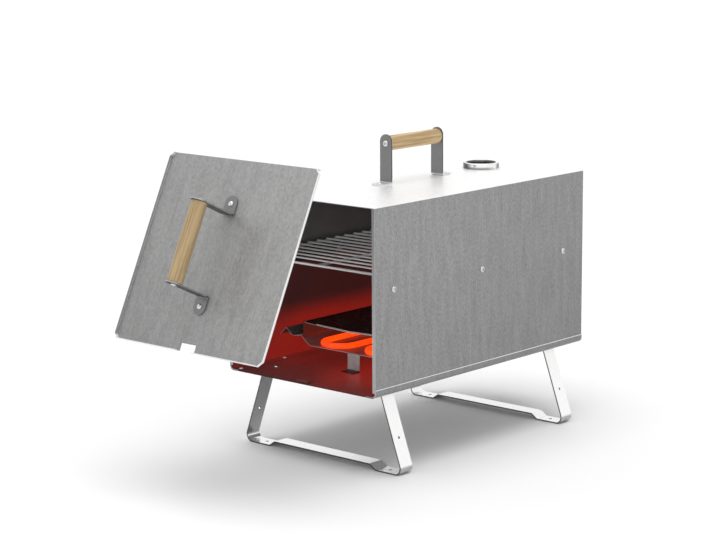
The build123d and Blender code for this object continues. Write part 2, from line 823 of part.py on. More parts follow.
# Heating element: one tube bent into two hairpins, its ends through the back panel
element_end = panel_back_y + element_tail
element_side = [
    (element_pin_half, element_end),
    (element_pin_half, back_y - element_tail_inset),
    (element_outer_half, back_y - element_turn_inset),
    (element_outer_half, front_y + element_front),
    (element_inner_half, front_y + element_front),
    (element_inner_half, back_y - element_return_inset),
]
hairpin = (element_outer_half - element_inner_half) / 2 - 0.5
return_bend = element_inner_half - 0.5
side_bends = [element_turn_radius, element_turn_radius, hairpin, hairpin, return_bend]
with BuildPart() as heating_element:
    with BuildLine(Plane.XY.offset(element_z)) as element_path:
        FilletPolyline(
            *[(-x, y) for x, y in element_side],
            *element_side[::-1],
            radius=side_bends + side_bends[::-1],
        )
    with BuildSketch(Plane(element_path.line @ 0, z_dir=element_path.line % 0)):
        Circle(element_radius)
    sweep()
save(heating_element, "heating_element")
with BuildPart() as element_pins:
    with BuildSketch(Plane.XZ.offset(-element_end)):
        with Locations(*[(side * element_pin_half, element_z) for side in (-1, 1)]):
            Circle(pin_radius)
    extrude(amount=-pin_length)
save(element_pins, "element_pins")
with BuildPart() as element_plate:
    with BuildSketch(Plane.XZ.offset(-panel_back_y)):
        with Locations((0, element_z)):
            RectangleRounded(plate_width, plate_height, plate_corner)
        with Locations(*[(side * element_pin_half, element_z) for side in (-1, 1)]):
            Circle(element_radius + hole_clearance, mode=Mode.SUBTRACT)
        with Locations(*plate_screw_places):
            Circle(small_screw_radius + hole_clearance, mode=Mode.SUBTRACT)
    extrude(amount=-plate_strip)
save(element_plate, "element_plate")


def back_planes(places, y):
    """Planes that face backwards at these places, for fasteners on the back."""
    return [Plane((x, y, z), x_dir=(1, 0, 0), z_dir=(0, 1, 0)) for x, z in places]


plate_screw = make_screw(small_screw_radius, small_screw_head_radius, small_screw_head, plate_strip + sheet + 3.0)
save(make_set(plate_screw, back_planes(plate_screw_places, panel_back_y + plate_strip)), "element_plate_screws")

# Terminal cover: a moulded box with side ears over the element's ends
cover_back = panel_back_y + cover_depth
with BuildPart() as terminal_cover:
    with BuildSketch(Plane.XZ.offset(-panel_back_y)):
        with Locations((0, cover_z)):
            RectangleRounded(cover_width, cover_height, cover_corner)
    extrude(amount=-cover_depth)
    fillet(terminal_cover.edges().group_by(Axis.Y)[-1], radius=cover_round)
    offset(amount=-cover_wall, openings=terminal_cover.faces().sort_by(Axis.Y)[0])
    with BuildSketch(Plane.XZ.offset(-panel_back_y)):
        with Locations((0, cover_z)):
            RectangleRounded(cover_width + 2 * cover_ear, cover_height - 2 * cover_corner, cover_corner / 2)
            Rectangle(cover_width - cover_wall, cover_height, mode=Mode.SUBTRACT)
        with Locations(*cover_screw_places):
            Circle(small_screw_radius + hole_clearance, mode=Mode.SUBTRACT)
    extrude(amount=-cover_wall)
    with BuildSketch(Plane.XZ.offset(-cover_back)):
        with Locations((inlet_centre, cover_z)):
            Rectangle(inlet_body_width + 2 * hole_clearance, inlet_body_height + 2 * hole_clearance)
        with Locations(*[(inlet_centre + side * inlet_screw_half, cover_z) for side in (-1, 1)]):
            Circle(small_screw_radius + hole_clearance)
        with Locations((cutout_centre, cover_z)):
            Circle(cutout_neck_radius + hole_clearance)
    extrude(amount=cover_wall, mode=Mode.SUBTRACT)
save(terminal_cover, "terminal_cover")
cover_screw = make_screw(small_screw_radius, small_screw_head_radius, small_screw_head, cover_wall + sheet + 3.0)
save(make_set(cover_screw, back_planes(cover_screw_places, panel_back_y + cover_wall)), "cover_screws")

# Appliance inlet: a moulded socket with three blades
inlet_front = cover_back + inlet_flange
blade_places = [
    (inlet_centre - blade_pitch, cover_z - blade_offset),
    (inlet_centre, cover_z + blade_offset),
    (inlet_centre + blade_pitch, cover_z - blade_offset),
]
with BuildPart() as appliance_inlet:
    with BuildSketch(Plane.XZ.offset(-cover_back)):
        with Locations((inlet_centre, cover_z)):
            RectangleRounded(inlet_flange_width, inlet_flange_height, 4.0)
        with Locations(*[(inlet_centre + side * inlet_screw_half, cover_z) for side in (-1, 1)]):
            Circle(small_screw_radius + hole_clearance, mode=Mode.SUBTRACT)
    extrude(amount=-inlet_flange)
    with BuildSketch(Plane.XZ.offset(-cover_back)):
        with Locations((inlet_centre, cover_z)):
            Rectangle(inlet_body_width, inlet_body_height)
    extrude(amount=inlet_depth)
    with BuildSketch(Plane.XZ.offset(-inlet_front)):
        with Locations((inlet_centre, cover_z)):
            Rectangle(inlet_body_width - 2 * inlet_wall, inlet_body_height - 2 * inlet_wall)
        chamfer(vertices().group_by(Axis.Y)[-1], length=3.0)
    extrude(amount=inlet_flange + inlet_depth - inlet_wall, mode=Mode.SUBTRACT)
    with BuildSketch(Plane.XZ.offset(-(cover_back - inlet_depth))):
        with Locations(*blade_places):
            Rectangle(blade_width + 2 * hole_clearance, blade_height + 2 * hole_clearance)
    extrude(amount=-inlet_wall, mode=Mode.SUBTRACT)
save(appliance_inlet, "appliance_inlet")
with BuildPart() as inlet_blades:
    with BuildSketch(Plane.XZ.offset(-(cover_back - inlet_depth - blade_tab))):
        with Locations(*blade_places):
            Rectangle(blade_width, blade_height)
    extrude(amount=-(blade_tab + inlet_wall + blade_length))
save(inlet_blades, "inlet_blades")
inlet_screw = make_screw(small_screw_radius, small_screw_head_radius, small_screw_head, inlet_flange + cover_wall + 3.0)
inlet_screw_places = [(inlet_centre + side * inlet_screw_half, cover_z) for side in (-1, 1)]
save(make_set(inlet_screw, back_planes(inlet_screw_places, inlet_front)), "inlet_screws")

# Thermal cut-out behind the cover, with its reset button in a threaded neck
cutout_face = cover_back - cover_wall
with BuildPart() as thermal_cutout:
    with BuildSketch(Plane.XZ.offset(-cutout_face)):
        with Locations((cutout_centre, cover_z)):
            Circle(cutout_radius)
    extrude(amount=cutout_depth)
    with BuildSketch(Plane.XZ.offset(-cutout_face)):
        with Locations((cutout_centre, cover_z)):
            Circle(cutout_neck_radius)
    extrude(amount=-(cover_wall + cutout_neck))
    with BuildSketch(Plane.XZ.offset(-(cover_back + cutout_neck))):
        with Locations((cutout_centre, cover_z)):
            Circle(cutout_bore_radius)
    extrude(amount=button_length - button_proud + button_travel + seat_gap, mode=Mode.SUBTRACT)
save(thermal_cutout, "thermal_cutout")
with BuildPart() as reset_button:
    with BuildSketch(Plane.XZ.offset(-(cover_back + cutout_neck + button_proud))):
        with Locations((cutout_centre, cover_z)):
            Circle(button_radius)
    extrude(amount=button_length)
    fillet(reset_button.edges().group_by(Axis.Y)[-1], radius=0.8)
save(reset_button, "reset_button")
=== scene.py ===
"""Finishes, fasteners and stage of an electric table smoker, run as a script or an add-on."""

from functools import partial, partialmethod
from math import cos, pi, radians, sin

import bmesh
import bpy
import numpy as np
from bpy.types import NodeSocket, Operator, Panel, PropertyGroup, Scene
from mathutils import Matrix, Vector


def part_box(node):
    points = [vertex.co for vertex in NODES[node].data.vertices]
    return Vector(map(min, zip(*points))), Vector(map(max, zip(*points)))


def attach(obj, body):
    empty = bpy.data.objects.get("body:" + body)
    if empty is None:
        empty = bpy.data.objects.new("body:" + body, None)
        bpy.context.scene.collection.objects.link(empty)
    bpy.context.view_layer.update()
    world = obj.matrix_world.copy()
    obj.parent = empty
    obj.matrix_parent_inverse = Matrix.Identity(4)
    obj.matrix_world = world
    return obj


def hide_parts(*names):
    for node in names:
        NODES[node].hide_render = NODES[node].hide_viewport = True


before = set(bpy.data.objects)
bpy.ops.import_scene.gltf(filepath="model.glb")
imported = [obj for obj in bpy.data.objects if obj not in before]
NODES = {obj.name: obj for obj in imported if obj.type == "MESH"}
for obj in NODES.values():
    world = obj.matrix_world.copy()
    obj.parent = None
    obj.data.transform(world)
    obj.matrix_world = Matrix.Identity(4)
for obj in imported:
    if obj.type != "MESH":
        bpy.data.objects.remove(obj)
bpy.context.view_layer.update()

bl_info = {
    "name": "Electric table smoker",
    "version": (1, 0, 0),
    "blender": (4, 5, 0),
    "location": "View3D > Sidebar > Smoker",
    "description": "Finishes the box, door, grips, grate, trays and heating element of a table smoker",
    "category": "Object",
}

# Directions, and places read from the fixed frame, in metres
ACROSS = Vector((1, 0, 0))
BACKWARD = Vector((0, 1, 0))
UPWARD = Vector((0, 0, 1))
DOOR_TILT = radians(25.5)
DOOR_UP = Vector((0, sin(DOOR_TILT), cos(DOOR_TILT)))
DOOR_OUT = Vector((0, -cos(DOOR_TILT), sin(DOOR_TILT)))
SHELL_LOW, SHELL_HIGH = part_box("body_shell")
PAN_LOW, PAN_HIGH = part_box("bottom_pan")

# How far a sheet's sheared edge reaches behind its front
EDGE = 0.0009

# Where the element's light, painted as glow on the sheets round it, fades: height, depth and width
PAST_TRAYS = (0.162, 0.202)
PAST_GRATE = (0.262, 0.290)
FROM_FRONT = (-0.245, -0.135)
FROM_LEFT = (-0.075, 0.045)
CHAMBER_TOP = (0.255, 0.285)
LOWER_INSIDE_TOP = (0.255, 0.292)


def grey(level):
    return level, level, level


BLACK = grey(0)
WHITE = grey(1)
# The element's red light and the chamber's faint grey light, both painted as glow on the chamber's sheets
RED_LIGHT = (0.215, 0.010, 0.006)
LOW_LIGHT = (0.006, 0.0065, 0.0065)
HIGH_LIGHT = (0.004, 0.006, 0.006)
LIP_GREY = grey(0.45)
PAN_EDGE = (0.055, 0.030, 0.026)
# Painted highlight on a sheet's front edge
LIT_EDGE = (0.55, 0.54, 0.53)
FOOT_SHADE = (0.07, 0.022, 0.018)


def face_place(node, direction):
    """How far along a direction the largest face of a node that looks that way lies."""
    faces = [face for face in NODES[node].data.polygons if face.normal.dot(direction) > 0.99]
    return max(faces, key=lambda face: face.area).center.dot(direction)


DOOR_FACE = face_place("door_panel", DOOR_OUT)


# Sizes and colours that a user can set


def setting(kind, name, description, *values, **rule):
    """A setting with its lowest and highest value, or 0 and 1 where only the default is given."""
    *limits, default = values
    low, high = limits or (0, 1)
    return kind(name=name, description=description, min=low, max=high, default=default, **rule)


Colour = partial(setting, bpy.props.FloatVectorProperty, subtype="COLOR", size=3)
Number = partial(setting, bpy.props.FloatProperty)
Length = partial(Number, unit="LENGTH")
Angle = partial(Number, subtype="ANGLE")


class SmokerSheetLook(PropertyGroup):
    side_colour: Colour("Side sheet", "Colour of the galvanised sides", grey(0.272))
    # Painted light: the roof faces up, so it gets a near-white colour for the light it catches
    roof_colour: Colour("Roof sheet", "Colour of the roof where it is clean", grey(0.94))
    door_colour: Colour("Door sheet", "Colour of the door's sheet", (0.31, 0.31, 0.308))
    # Painted highlight on the door's turned rims and on the pan's top edge
    rim_colour: Colour("Turned rims", "Colour of the rims, rubbed bright", grey(0.88))
    leg_colour: Colour("Leg strip", "Colour of the polished strip of the legs", (0.97, 0.97, 0.965))
    arm_colour: Colour("Arm strip", "Colour of the dull faces of the arms", (0.21, 0.21, 0.212))
    inner_colour: Colour("Upper inside", "Colour of the walls above the grate", grey(0.30))
    # The walls and floor below the grate get a much darker colour than those above it
    soot_colour: Colour(
        "Lower inside", "Colour of the walls and floor below the grate", (0.055, 0.052, 0.052))
    spangle_size: Length("Spangle", "Size of the fine spangle in the zinc", 0.0005, 0.05, 0.0026)
    streak_size: Length("Streaks", "Width of the upright streaks in the zinc", 0.001, 0.05, 0.010)


class SmokerWoodLook(PropertyGroup):
    light_colour: Colour("Pale grain", "Colour of the early wood", (0.64, 0.465, 0.245))
    dark_colour: Colour("Dark grain", "Colour of the late wood", (0.43, 0.285, 0.13))
    # Painted shade: the door's grip is darkened by this factor for the shade it lies in
    door_shade: Number("Door grip shade", "Lightness of the door's grip", 0.2, 1.5, 0.78)
    edge_round: Length("Edge round", "Rounding of the bar's ends", 0.0002, 0.004, 0.0015)


class SmokerHeatLook(PropertyGroup):
    glow_colour: Colour("Glow", "Colour of the hot tube", (1.0, 0.060, 0.003))
    glow_strength: Number("Glow strength", "How strongly the tube shines", 0, 50, 1.6)
    tube_radius: Length("Tube radius", "Radius of the element's tube", 0.001, 0.01, 0.004)
    # Painted light: strength of the element's red glow painted on the sheets round it
    wall_glow: Number("Wall glow", "How strongly the sheets round it shine back", 0, 5, 1.0)


class SmokerGrateLook(PropertyGroup):
    frame_wire: Length("Frame wire", "Radius of the frame's wire", 0.0005, 0.005, 0.002)
    cross_wire: Length("Cross wire", "Radius of the cross wires", 0.0005, 0.005, 0.0015)
    wires: setting(bpy.props.IntProperty, "Cross wires", "Number of cross wires", 2, 60, 19)
    corner: Length("Corner", "Bend radius of the frame's corners", 0.002, 0.03, 0.008)
    weld: Length("Weld", "Radius of the weld beads", 0.0005, 0.005, 0.0019)


class SmokerFastenerLook(PropertyGroup):
    turn: Angle("Turn", "How far the screws' recesses are turned from each other", 0, pi, 1.4)
    recess: Length("Recess", "Width of a screw's cross recess", 0.0002, 0.003, 0.0011)


class SmokerStageLook(PropertyGroup):
    lens: Number("Lens", "Focal length", 20, 300, 110.02)
    azimuth: Angle("Azimuth", "Camera's turn about the vertical", -pi, pi, radians(41.687))
    elevation: Angle("Elevation", "Camera's tilt down", -pi, pi, radians(10.593))
    roll: Angle("Roll", "Camera's roll", -pi, pi, radians(-0.379))
    place: bpy.props.FloatVectorProperty(
        name="Camera place", description="Where the camera stands", subtype="XYZ", unit="LENGTH", size=3,
        default=(2.06626, -2.43868, 0.84485))
    floor_shade: Number("Floor shade", "Lightness of the floor", 1.0)
    overhead: Number("Overhead light", "Strength of the soft light from above", 0, 10, 1.4)
    surround: Number("Surround light", "Strength of the light from all round", 0, 5, 0.62)


GROUPS = (
    ("smoker_sheet", SmokerSheetLook), ("smoker_wood", SmokerWoodLook), ("smoker_heat", SmokerHeatLook),
    ("smoker_grate", SmokerGrateLook), ("smoker_fasteners", SmokerFastenerLook),
    ("smoker_stage", SmokerStageLook))


# Node trees


class Nodes:
    """A node tree under construction. Its calls take plain values and sockets alike."""

    def __init__(self, tree):
        self.tree = tree

    def put(self, socket, value):
        """Links a value that comes out of a node, or writes a plain one."""
        if isinstance(value, NodeSocket):
            self.tree.links.new(value, socket)
        elif socket.type == "RGBA":
            socket.default_value = (*value, 1)
        else:
            socket.default_value = value

    def node(self, kind, inputs=None, **values):
        made = self.tree.nodes.new(kind)
        for key, value in values.items():
            setattr(made, key, value)
        for key, value in (inputs or {}).items():
            self.put(made.inputs[key], value)
        return made

    def made(self, kind, inputs, **values):
        """The first output of a new node."""
        return self.node(kind, inputs, **values).outputs[0]

    def math(self, operation, first, second=0.0, clamp=False):
        return self.made("ShaderNodeMath", {0: first, 1: second}, operation=operation, use_clamp=clamp)

    def times(self, value, *factors):
        for factor in factors:
            value = self.math("MULTIPLY", value, factor)
        return value


class Finish(Nodes):
    """A material under construction, with short calls for its nodes."""

    def __init__(self, name, colour, metallic, roughness):
        self.material = made = bpy.data.materials.new(name)
        made.use_nodes = True
        made.diffuse_color = (*colour, 1)
        super().__init__(made.node_tree)
        self.shader = self.tree.nodes["Principled BSDF"]
        self.paint(colour)
        self.feed("Metallic", metallic)
        self.feed("Roughness", roughness)
        self.coordinates = self.node("ShaderNodeTexCoord").outputs

    def feed(self, name, value):
        self.put(self.shader.inputs[name], value)

    def paint(self, colour):
        self.feed("Base Color", colour)

    def glow(self, colour, strength=1.0):
        self.feed("Emission Color", colour)
        self.feed("Emission Strength", strength)

    def places(self, scale=(1, 1, 1), turn=(0, 0, 0), shift=(0, 0, 0)):
        """Object coordinates, turned and shifted first and then scaled."""
        turned = self.made("ShaderNodeMapping", {
            "Vector": self.coordinates["Object"], "Location": shift, "Rotation": turn})
        return self.made("ShaderNodeMapping", {"Vector": turned, "Scale": scale})

    def xyz(self):
        return self.node("ShaderNodeSeparateXYZ", {"Vector": self.places()}).outputs[:3]

    def along(self, direction, kind="Object"):
        """How far a point lies along a direction, or with "Normal" how squarely its face points there."""
        return self.node("ShaderNodeVectorMath", {0: self.coordinates[kind], 1: tuple(direction)},
                         operation="DOT_PRODUCT").outputs["Value"]

    def aside(self, direction, kind="Object"):
        """The same without its sign."""
        return self.math("ABSOLUTE", self.along(direction, kind))

    above = partialmethod(Nodes.math, "GREATER_THAN")
    below = partialmethod(Nodes.math, "LESS_THAN")

    def noise(self, fineness, detail, rough, distortion=0.0, **place):
        return self.made("ShaderNodeTexNoise", {
            "Vector": self.places(**place), "Scale": fineness, "Detail": detail, "Roughness": rough,
            "Distortion": distortion})

    def blend(self, first, second, share):
        """Two patterns added, the first with this share."""
        return self.math("ADD", self.times(first, share), self.times(second, 1 - share))

    def span(self, value, low, high, to_low=0.0, to_high=1.0):
        """A smooth step between two values."""
        return self.made("ShaderNodeMapRange", {
            "Value": value, "From Min": low, "From Max": high, "To Min": to_low, "To Max": to_high},
            interpolation_type="SMOOTHSTEP")

    def ramp(self, value, *stops):
        """A colour ramp from pairs of position and colour."""
        made = self.node("ShaderNodeValToRGB", {"Fac": value})
        elements = made.color_ramp.elements
        while len(elements) < len(stops):
            elements.new(0.5)
        for element, (position, colour) in zip(elements, stops):
            element.position = position
            element.color = (*colour, 1)
        return made.outputs["Color"]

    def tones(self, value, colour, *stops):
        """One colour made lighter or darker along a pattern, from pairs of position and factor."""
        return self.ramp(value, *((position, shade(colour, factor)) for position, factor in stops))

    def mix(self, share, first, second, blend="MIX"):
        made = self.node("ShaderNodeMix", {0: share, 6: first, 7: second}, data_type="RGBA", blend_type=blend)
        return made.outputs[2]

    def tint(self, colour, factor):
        return self.mix(1.0, colour, factor, "MULTIPLY")

    def rough(self, pattern, low, high):
        self.feed("Roughness", self.span(pattern, 0.3, 0.7, low, high))

    def bump(self, height, strength, distance=0.0001):
        self.feed("Normal", self.made("ShaderNodeBump", {
            "Height": height, "Strength": strength, "Distance": distance}))


# Materials


def shade(colour, factor):
    """A colour made lighter or darker."""
    return tuple(min(1.0, c * factor) for c in colour)


def inside_mask(mat, x, y, z):
    """1 on the inside faces of the box, 0 outside, from where a point lies."""
    under = mat.times(mat.below(z, PAN_LOW.z + 0.0065), mat.below(mat.along(UPWARD, "Normal"), -0.05))
    back_bend = mat.times(mat.below(z, PAN_HIGH.z + 0.002), mat.above(y, SHELL_HIGH.y - 0.008))
    return mat.times(
        mat.below(mat.math("ABSOLUTE", x), SHELL_HIGH.x - 0.0006),
        mat.below(z, SHELL_HIGH.z - 0.0004),
        mat.math("SUBTRACT", 1.0, mat.math("MAXIMUM", under, back_bend)),
        mat.above(z, PAN_LOW.z + 0.0005),
        mat.above(y, SHELL_LOW.y + EDGE),
        mat.below(y, SHELL_HIGH.y + 0.0003))


def heat_glow(mat, mask, x, y, z, strength):
    """The hot tube's red light, painted as glow on the sheets round it, over a faint grey light painted as
    glow on the chamber's walls.
    """
    over_floor = mat.above(z, PAN_LOW.z + 0.002)
    share = mat.times(
        mat.span(z, *PAST_TRAYS, 1.0, 0.12),
        mat.span(z, *PAST_GRATE, 1.0, 0.0),
        mat.span(y, *FROM_FRONT, 0.42, 1.0),
        mat.math("MAXIMUM", mat.span(x, *FROM_LEFT, 0.40, 1.0), over_floor),
        mat.span(mat.noise(14.0, 2.0, 0.55), 0.3, 0.7, 0.88, 1.12))
    chamber = mat.mix(mat.span(z, *CHAMBER_TOP), LOW_LIGHT, HIGH_LIGHT)
    mat.glow(mat.mix(mask, BLACK, mat.mix(share, chamber, RED_LIGHT)), strength)


def zinc_pattern(mat, look, turn=(0, 0, 0)):
    """Fine spangle with soft upright streaks, a value about one half. It sets the roughness and bump too."""
    fine = mat.noise(1 / look.spangle_size, 2.0, 0.6, scale=(1, 1, 0.6), turn=turn)
    streak = mat.noise(1 / look.streak_size, 3.0, 0.6, 0.4, scale=(1, 1, 0.16), turn=turn)
    zinc = mat.blend(fine, streak, 0.62)
    mat.rough(zinc, 0.36, 0.50)
    mat.bump(zinc, 0.10)
    return zinc


def zinc_tones(mat, zinc, colour, dark, light):
    """A sheet's colour, darker and lighter along the pattern."""
    return mat.tones(zinc, colour, (0.36, dark), (0.50, 1.0), (0.64, light))


def galvanised(look, heat):
    """Zinc-coated sheet: spangled outside, with painted light making the roof near white, a painted falloff
    of light along the sides and a painted highlight on the pan's top edge; dull inside, with the element's
    red light painted on as glow.
    """
    mat = Finish("galvanised sheet", look.side_colour, 0.6, 0.42)
    x, y, z = mat.xyz()
    zinc = zinc_pattern(mat, look)
    # Painted falloff of light: the sides are lighter towards the front and the top
    painted_falloff = mat.times(mat.span(y, SHELL_LOW.y, SHELL_HIGH.y, 1.06, 0.95),
                     mat.span(z, PAN_LOW.z, SHELL_HIGH.z, 0.94, 1.06))
    outer = mat.tint(zinc_tones(mat, zinc, look.side_colour, 0.78, 1.22), painted_falloff)
    # Painted light on the roof, which is the same sheet as the sides
    roof = mat.above(z, SHELL_HIGH.z - 0.0004)
    outer = mat.mix(roof, outer, zinc_tones(mat, zinc, look.roof_colour, 0.94, 1.04))
    pan_side = mat.above(mat.math("ABSOLUTE", x), SHELL_HIGH.x + 0.0002)
    outer = mat.mix(pan_side, outer, mat.tint(outer, grey(0.95)))
    # Painted highlight along the pan's top edge
    pan_top_highlight = mat.times(pan_side, mat.above(z, PAN_HIGH.z - EDGE))
    outer = mat.mix(pan_top_highlight, outer, look.rim_colour)
    lip = mat.below(y, SHELL_LOW.y + 0.001)
    outer = mat.mix(mat.times(lip, 0.75), outer, LIP_GREY)
    outer = mat.mix(mat.times(mat.below(z, PAN_LOW.z + 0.001), lip), outer, PAN_EDGE)
    stain = mat.noise(22.0, 5.0, 0.6)
    upper = mat.tones(stain, look.inner_colour, (0.3, 0.94), (0.7, 1.05))
    lower = mat.tones(stain, look.soot_colour, (0.3, 0.75), (0.7, 1.2))
    inner = mat.mix(mat.span(z, *LOWER_INSIDE_TOP), lower, upper)
    mask = inside_mask(mat, x, y, z)
    mat.paint(mat.mix(mask, outer, inner))
    heat_glow(mat, mask, x, y, z, heat.wall_glow)
    return mat.material


def door_sheet(look):
    """The door's spangled sheet, with a painted falloff of light across it and a painted highlight on its
    turned rims, weaker on the left.
    """
    mat = Finish("door sheet", look.door_colour, 0.55, 0.42)
    zinc = zinc_pattern(mat, look, DOOR_UP.rotation_difference(UPWARD).to_euler())
    low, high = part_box("door_panel")
    middle = ((low + high) / 2).dot(DOOR_UP)
    width = mat.along(ACROSS)
    # Painted falloff of light: the door is lighter towards the top and the right
    painted_falloff = mat.math("ADD", mat.span(mat.along(DOOR_UP), middle - 0.14, middle + 0.14, 0.94, 1.08),
                    mat.span(width, low.x, high.x, -0.03, 0.11))
    tone = mat.tint(zinc_tones(mat, zinc, look.door_colour, 0.84, 1.16), painted_falloff)
    # Painted highlight on the turned rims, weaker on the left
    out = mat.along(DOOR_OUT)
    rims = mat.math("MAXIMUM", mat.above(out, DOOR_FACE + 0.0004), mat.below(out, DOOR_FACE - 0.0012))
    left = mat.times(mat.below(width, low.x + 0.003), 0.65)
    rims = mat.math("SUBTRACT", rims, left, True)
    mat.paint(mat.mix(rims, tone, look.rim_colour))
    return mat.material


def leg_strip(look):
    """Polished strip: painted light where it faces up, painted shade where it faces down, and its sheared
    edges painted near black as shade.
    """
    colour = look.leg_colour
    mat = Finish("leg strip", colour, 0.85, 0.22)
    grain = mat.noise(900.0, 3.0, 0.6, scale=(0.12, 1, 0.12))
    # Painted light on the faces that look up, painted shade on those that look down
    bright = mat.tones(grain, colour, (0.3, 0.98), (0.6, 1.0))
    dull = mat.tones(grain, colour, (0.3, 0.47), (0.7, 0.56))
    tone = mat.mix(mat.span(mat.along(UPWARD, "Normal"), -0.12, 0.26), dull, bright)
    # Sheared edges painted near black as shade
    edge = mat.above(mat.aside(BACKWARD, "Normal"), 0.75)
    mat.paint(mat.mix(edge, tone, shade(colour, 0.09)))
    mat.rough(grain, 0.20, 0.25)
    return mat.material


def arm_strip(name, colour, out, base, broad, foot, below, sheared):
    """Bent strip of a grip: its foot on the sheet, its two broad faces and its sheared edges, each lightened
    or darkened by a factor that paints light and shade: a lit foot, a shaded underside, and sheared edges in
    painted shade below one or with a painted highlight above one.
    """
    mat = Finish(name, colour, 0.6, 0.34)
    grain = mat.noise(800.0, 3.0, 0.6, scale=(1, 0.2, 0.2))
    height = mat.along(out)
    toward = mat.along(broad, "Normal")
    # Painted shade on the broad face turned away, by the factor below
    faces = mat.mix(mat.span(toward, -0.2, 0.2), shade(colour, below), colour)
    # Painted shade or painted highlight on the sheared edges, by the factor sheared
    edge = mat.times(mat.below(mat.math("ABSOLUTE", toward), 0.5), mat.above(height, base + 0.006))
    faces = mat.mix(edge, faces, shade(colour, sheared))
    # Painted light on the foot where it lies on the sheet
    tone = mat.mix(mat.span(height, base + 0.0022, base + 0.0036), shade(colour, foot), faces)
    mat.paint(mat.tint(tone, mat.span(grain, 0.3, 0.7, 0.90, 1.08)))
    mat.rough(grain, 0.28, 0.42)
    mat.bump(grain, 0.08)
    return mat.material


def brushed(name, colour):
    """Strip with a fine directional grain."""
    mat = Finish(name, colour, 0.8, 0.4)
    grain = mat.noise(900.0, 3.0, 0.6, scale=(1, 1, 0.04))
    both = mat.blend(grain, mat.noise(55.0, 3.0, 0.6), 0.55)
    mat.paint(mat.tones(both, colour, (0.30, 0.86), (0.50, 1.0), (0.72, 1.12)))
    mat.rough(both, 0.34, 0.48)
    mat.bump(grain, 0.1)
    return mat.material


def inner_sheet(name, colour, front=None, red_glow=BLACK, foot=None, trough=None):
    """Dull sheet inside the chamber, with the element's red light painted on as glow, a painted highlight
    along its front edge and painted shade, dark and red, at its foot on the floor.
    """
    mat = Finish(name, colour, 0.4, 0.5)
    # The painted red glow fades out beyond the trough's width
    if trough is not None:
        red_glow = mat.mix(mat.span(mat.aside(ACROSS), trough - 0.008, trough), red_glow, BLACK)
    mat.glow(red_glow)
    stain = mat.noise(30.0, 5.0, 0.62)
    tone = mat.tones(stain, colour, (0.3, 0.7), (0.72, 1.25))
    if front is not None:
        # Painted highlight along the front edge
        tone = mat.mix(mat.below(mat.along(BACKWARD), front + EDGE), tone, LIT_EDGE)
    if foot is not None:
        # Painted shade at the foot on the floor
        tone = mat.mix(mat.below(mat.along(UPWARD), foot), tone, FOOT_SHADE)
    mat.paint(tone)
    mat.rough(stain, 0.42, 0.6)
    mat.bump(stain, 0.1, 0.0002)
    return mat.material


def turned_wood(name, light, dark, along, middle, half):
    """Pine with growth lines along the bar, and a painted highlight where its ends are chamfered."""
    mat = Finish(name, light, 0.0, 0.48)
    turn = along.rotation_difference(UPWARD).to_euler()
    lines = mat.noise(260.0, 3.0, 0.6, 0.8, scale=(1, 1, 0.045), turn=turn)
    rings = mat.noise(62.0, 2.0, 0.5, 1.2, scale=(1, 1, 0.10), turn=turn, shift=(0.011, 0.004, 0))
    pores = mat.noise(1500.0, 1.0, 0.5, scale=(1, 1, 0.02), turn=turn)
    both = mat.blend(lines, rings, 0.55)
    tone = mat.ramp(both, (0.30, shade(dark, 0.9)), (0.42, dark), (0.54, light), (0.72, shade(light, 1.12)))
    tone = mat.mix(mat.span(pores, 0.60, 0.70, 0.0, 0.3), tone, shade(dark, 0.6))
    reach = mat.math("ABSOLUTE", mat.math("SUBTRACT", mat.along(along), middle))
    # Painted highlight where the ends are chamfered
    chamfer_highlight = mat.span(reach, half - 0.0026, half - 0.0014, 0.0, 0.55)
    mat.paint(mat.mix(chamfer_highlight, tone, shade(light, 1.3)))
    mat.rough(both, 0.56, 0.42)
    mat.bump(both, 0.25, 0.0002)
    return mat.material


def glowing_tube(heat):
    """The tube's sheath, dull red to orange with its heat, cold and brown near the back panel."""
    hot = (0.30, 0.04, 0.01)
    mat = Finish("hot tube", hot, 0.0, 0.6)
    red, green, blue = heat.glow_colour
    glow = mat.ramp(mat.noise(35.0, 2.0, 0.5), (0.30, (red, green * 0.55, blue)), (0.70, heat.glow_colour))
    cold = mat.span(mat.along(BACKWARD), 0.20, 0.236)
    mat.glow(mat.mix(cold, glow, BLACK), heat.glow_strength)
    mat.paint(mat.mix(cold, hot, (0.20, 0.17, 0.15)))
    return mat.material


def enamel(name, colour, front, half):
    """Glossy dark enamel with fine orange peel, a painted highlight along the front edge but not down its
    sides, and the element's red light painted as glow on its upper faces.
    """
    mat = Finish(name, colour, 0.0, 0.28)
    film = mat.noise(26.0, 4.0, 0.6)
    tone = mat.tones(film, colour, (0.35, 0.7), (0.7, 1.5))
    # Painted highlight along the front edge
    edge = mat.times(mat.below(mat.along(BACKWARD), front + EDGE),
                     mat.below(mat.aside(ACROSS), half - 0.003))
    mat.paint(mat.mix(edge, tone, (0.42, 0.41, 0.40)))
    # The element's red light painted as glow on the upper faces
    upper_face = mat.above(mat.along(UPWARD, "Normal"), 0.4)
    mat.glow(mat.mix(upper_face, (0.040, 0.009, 0.007), BLACK))
    mat.rough(film, 0.22, 0.42)
    mat.bump(mat.noise(420.0, 2.0, 0.5), 0.15, 0.0002)
    return mat.material


# Metallic share, noise, darkest and lightest tone and depth of moulded plastic and of marked metal
MOULDED = (0.0, (1400.0, 2.0, 0.6), 0.85, 1.2, 0.2)
BRIGHT = (1.0, (160.0, 4.0, 0.6), 0.9, 1.06, 0.05)


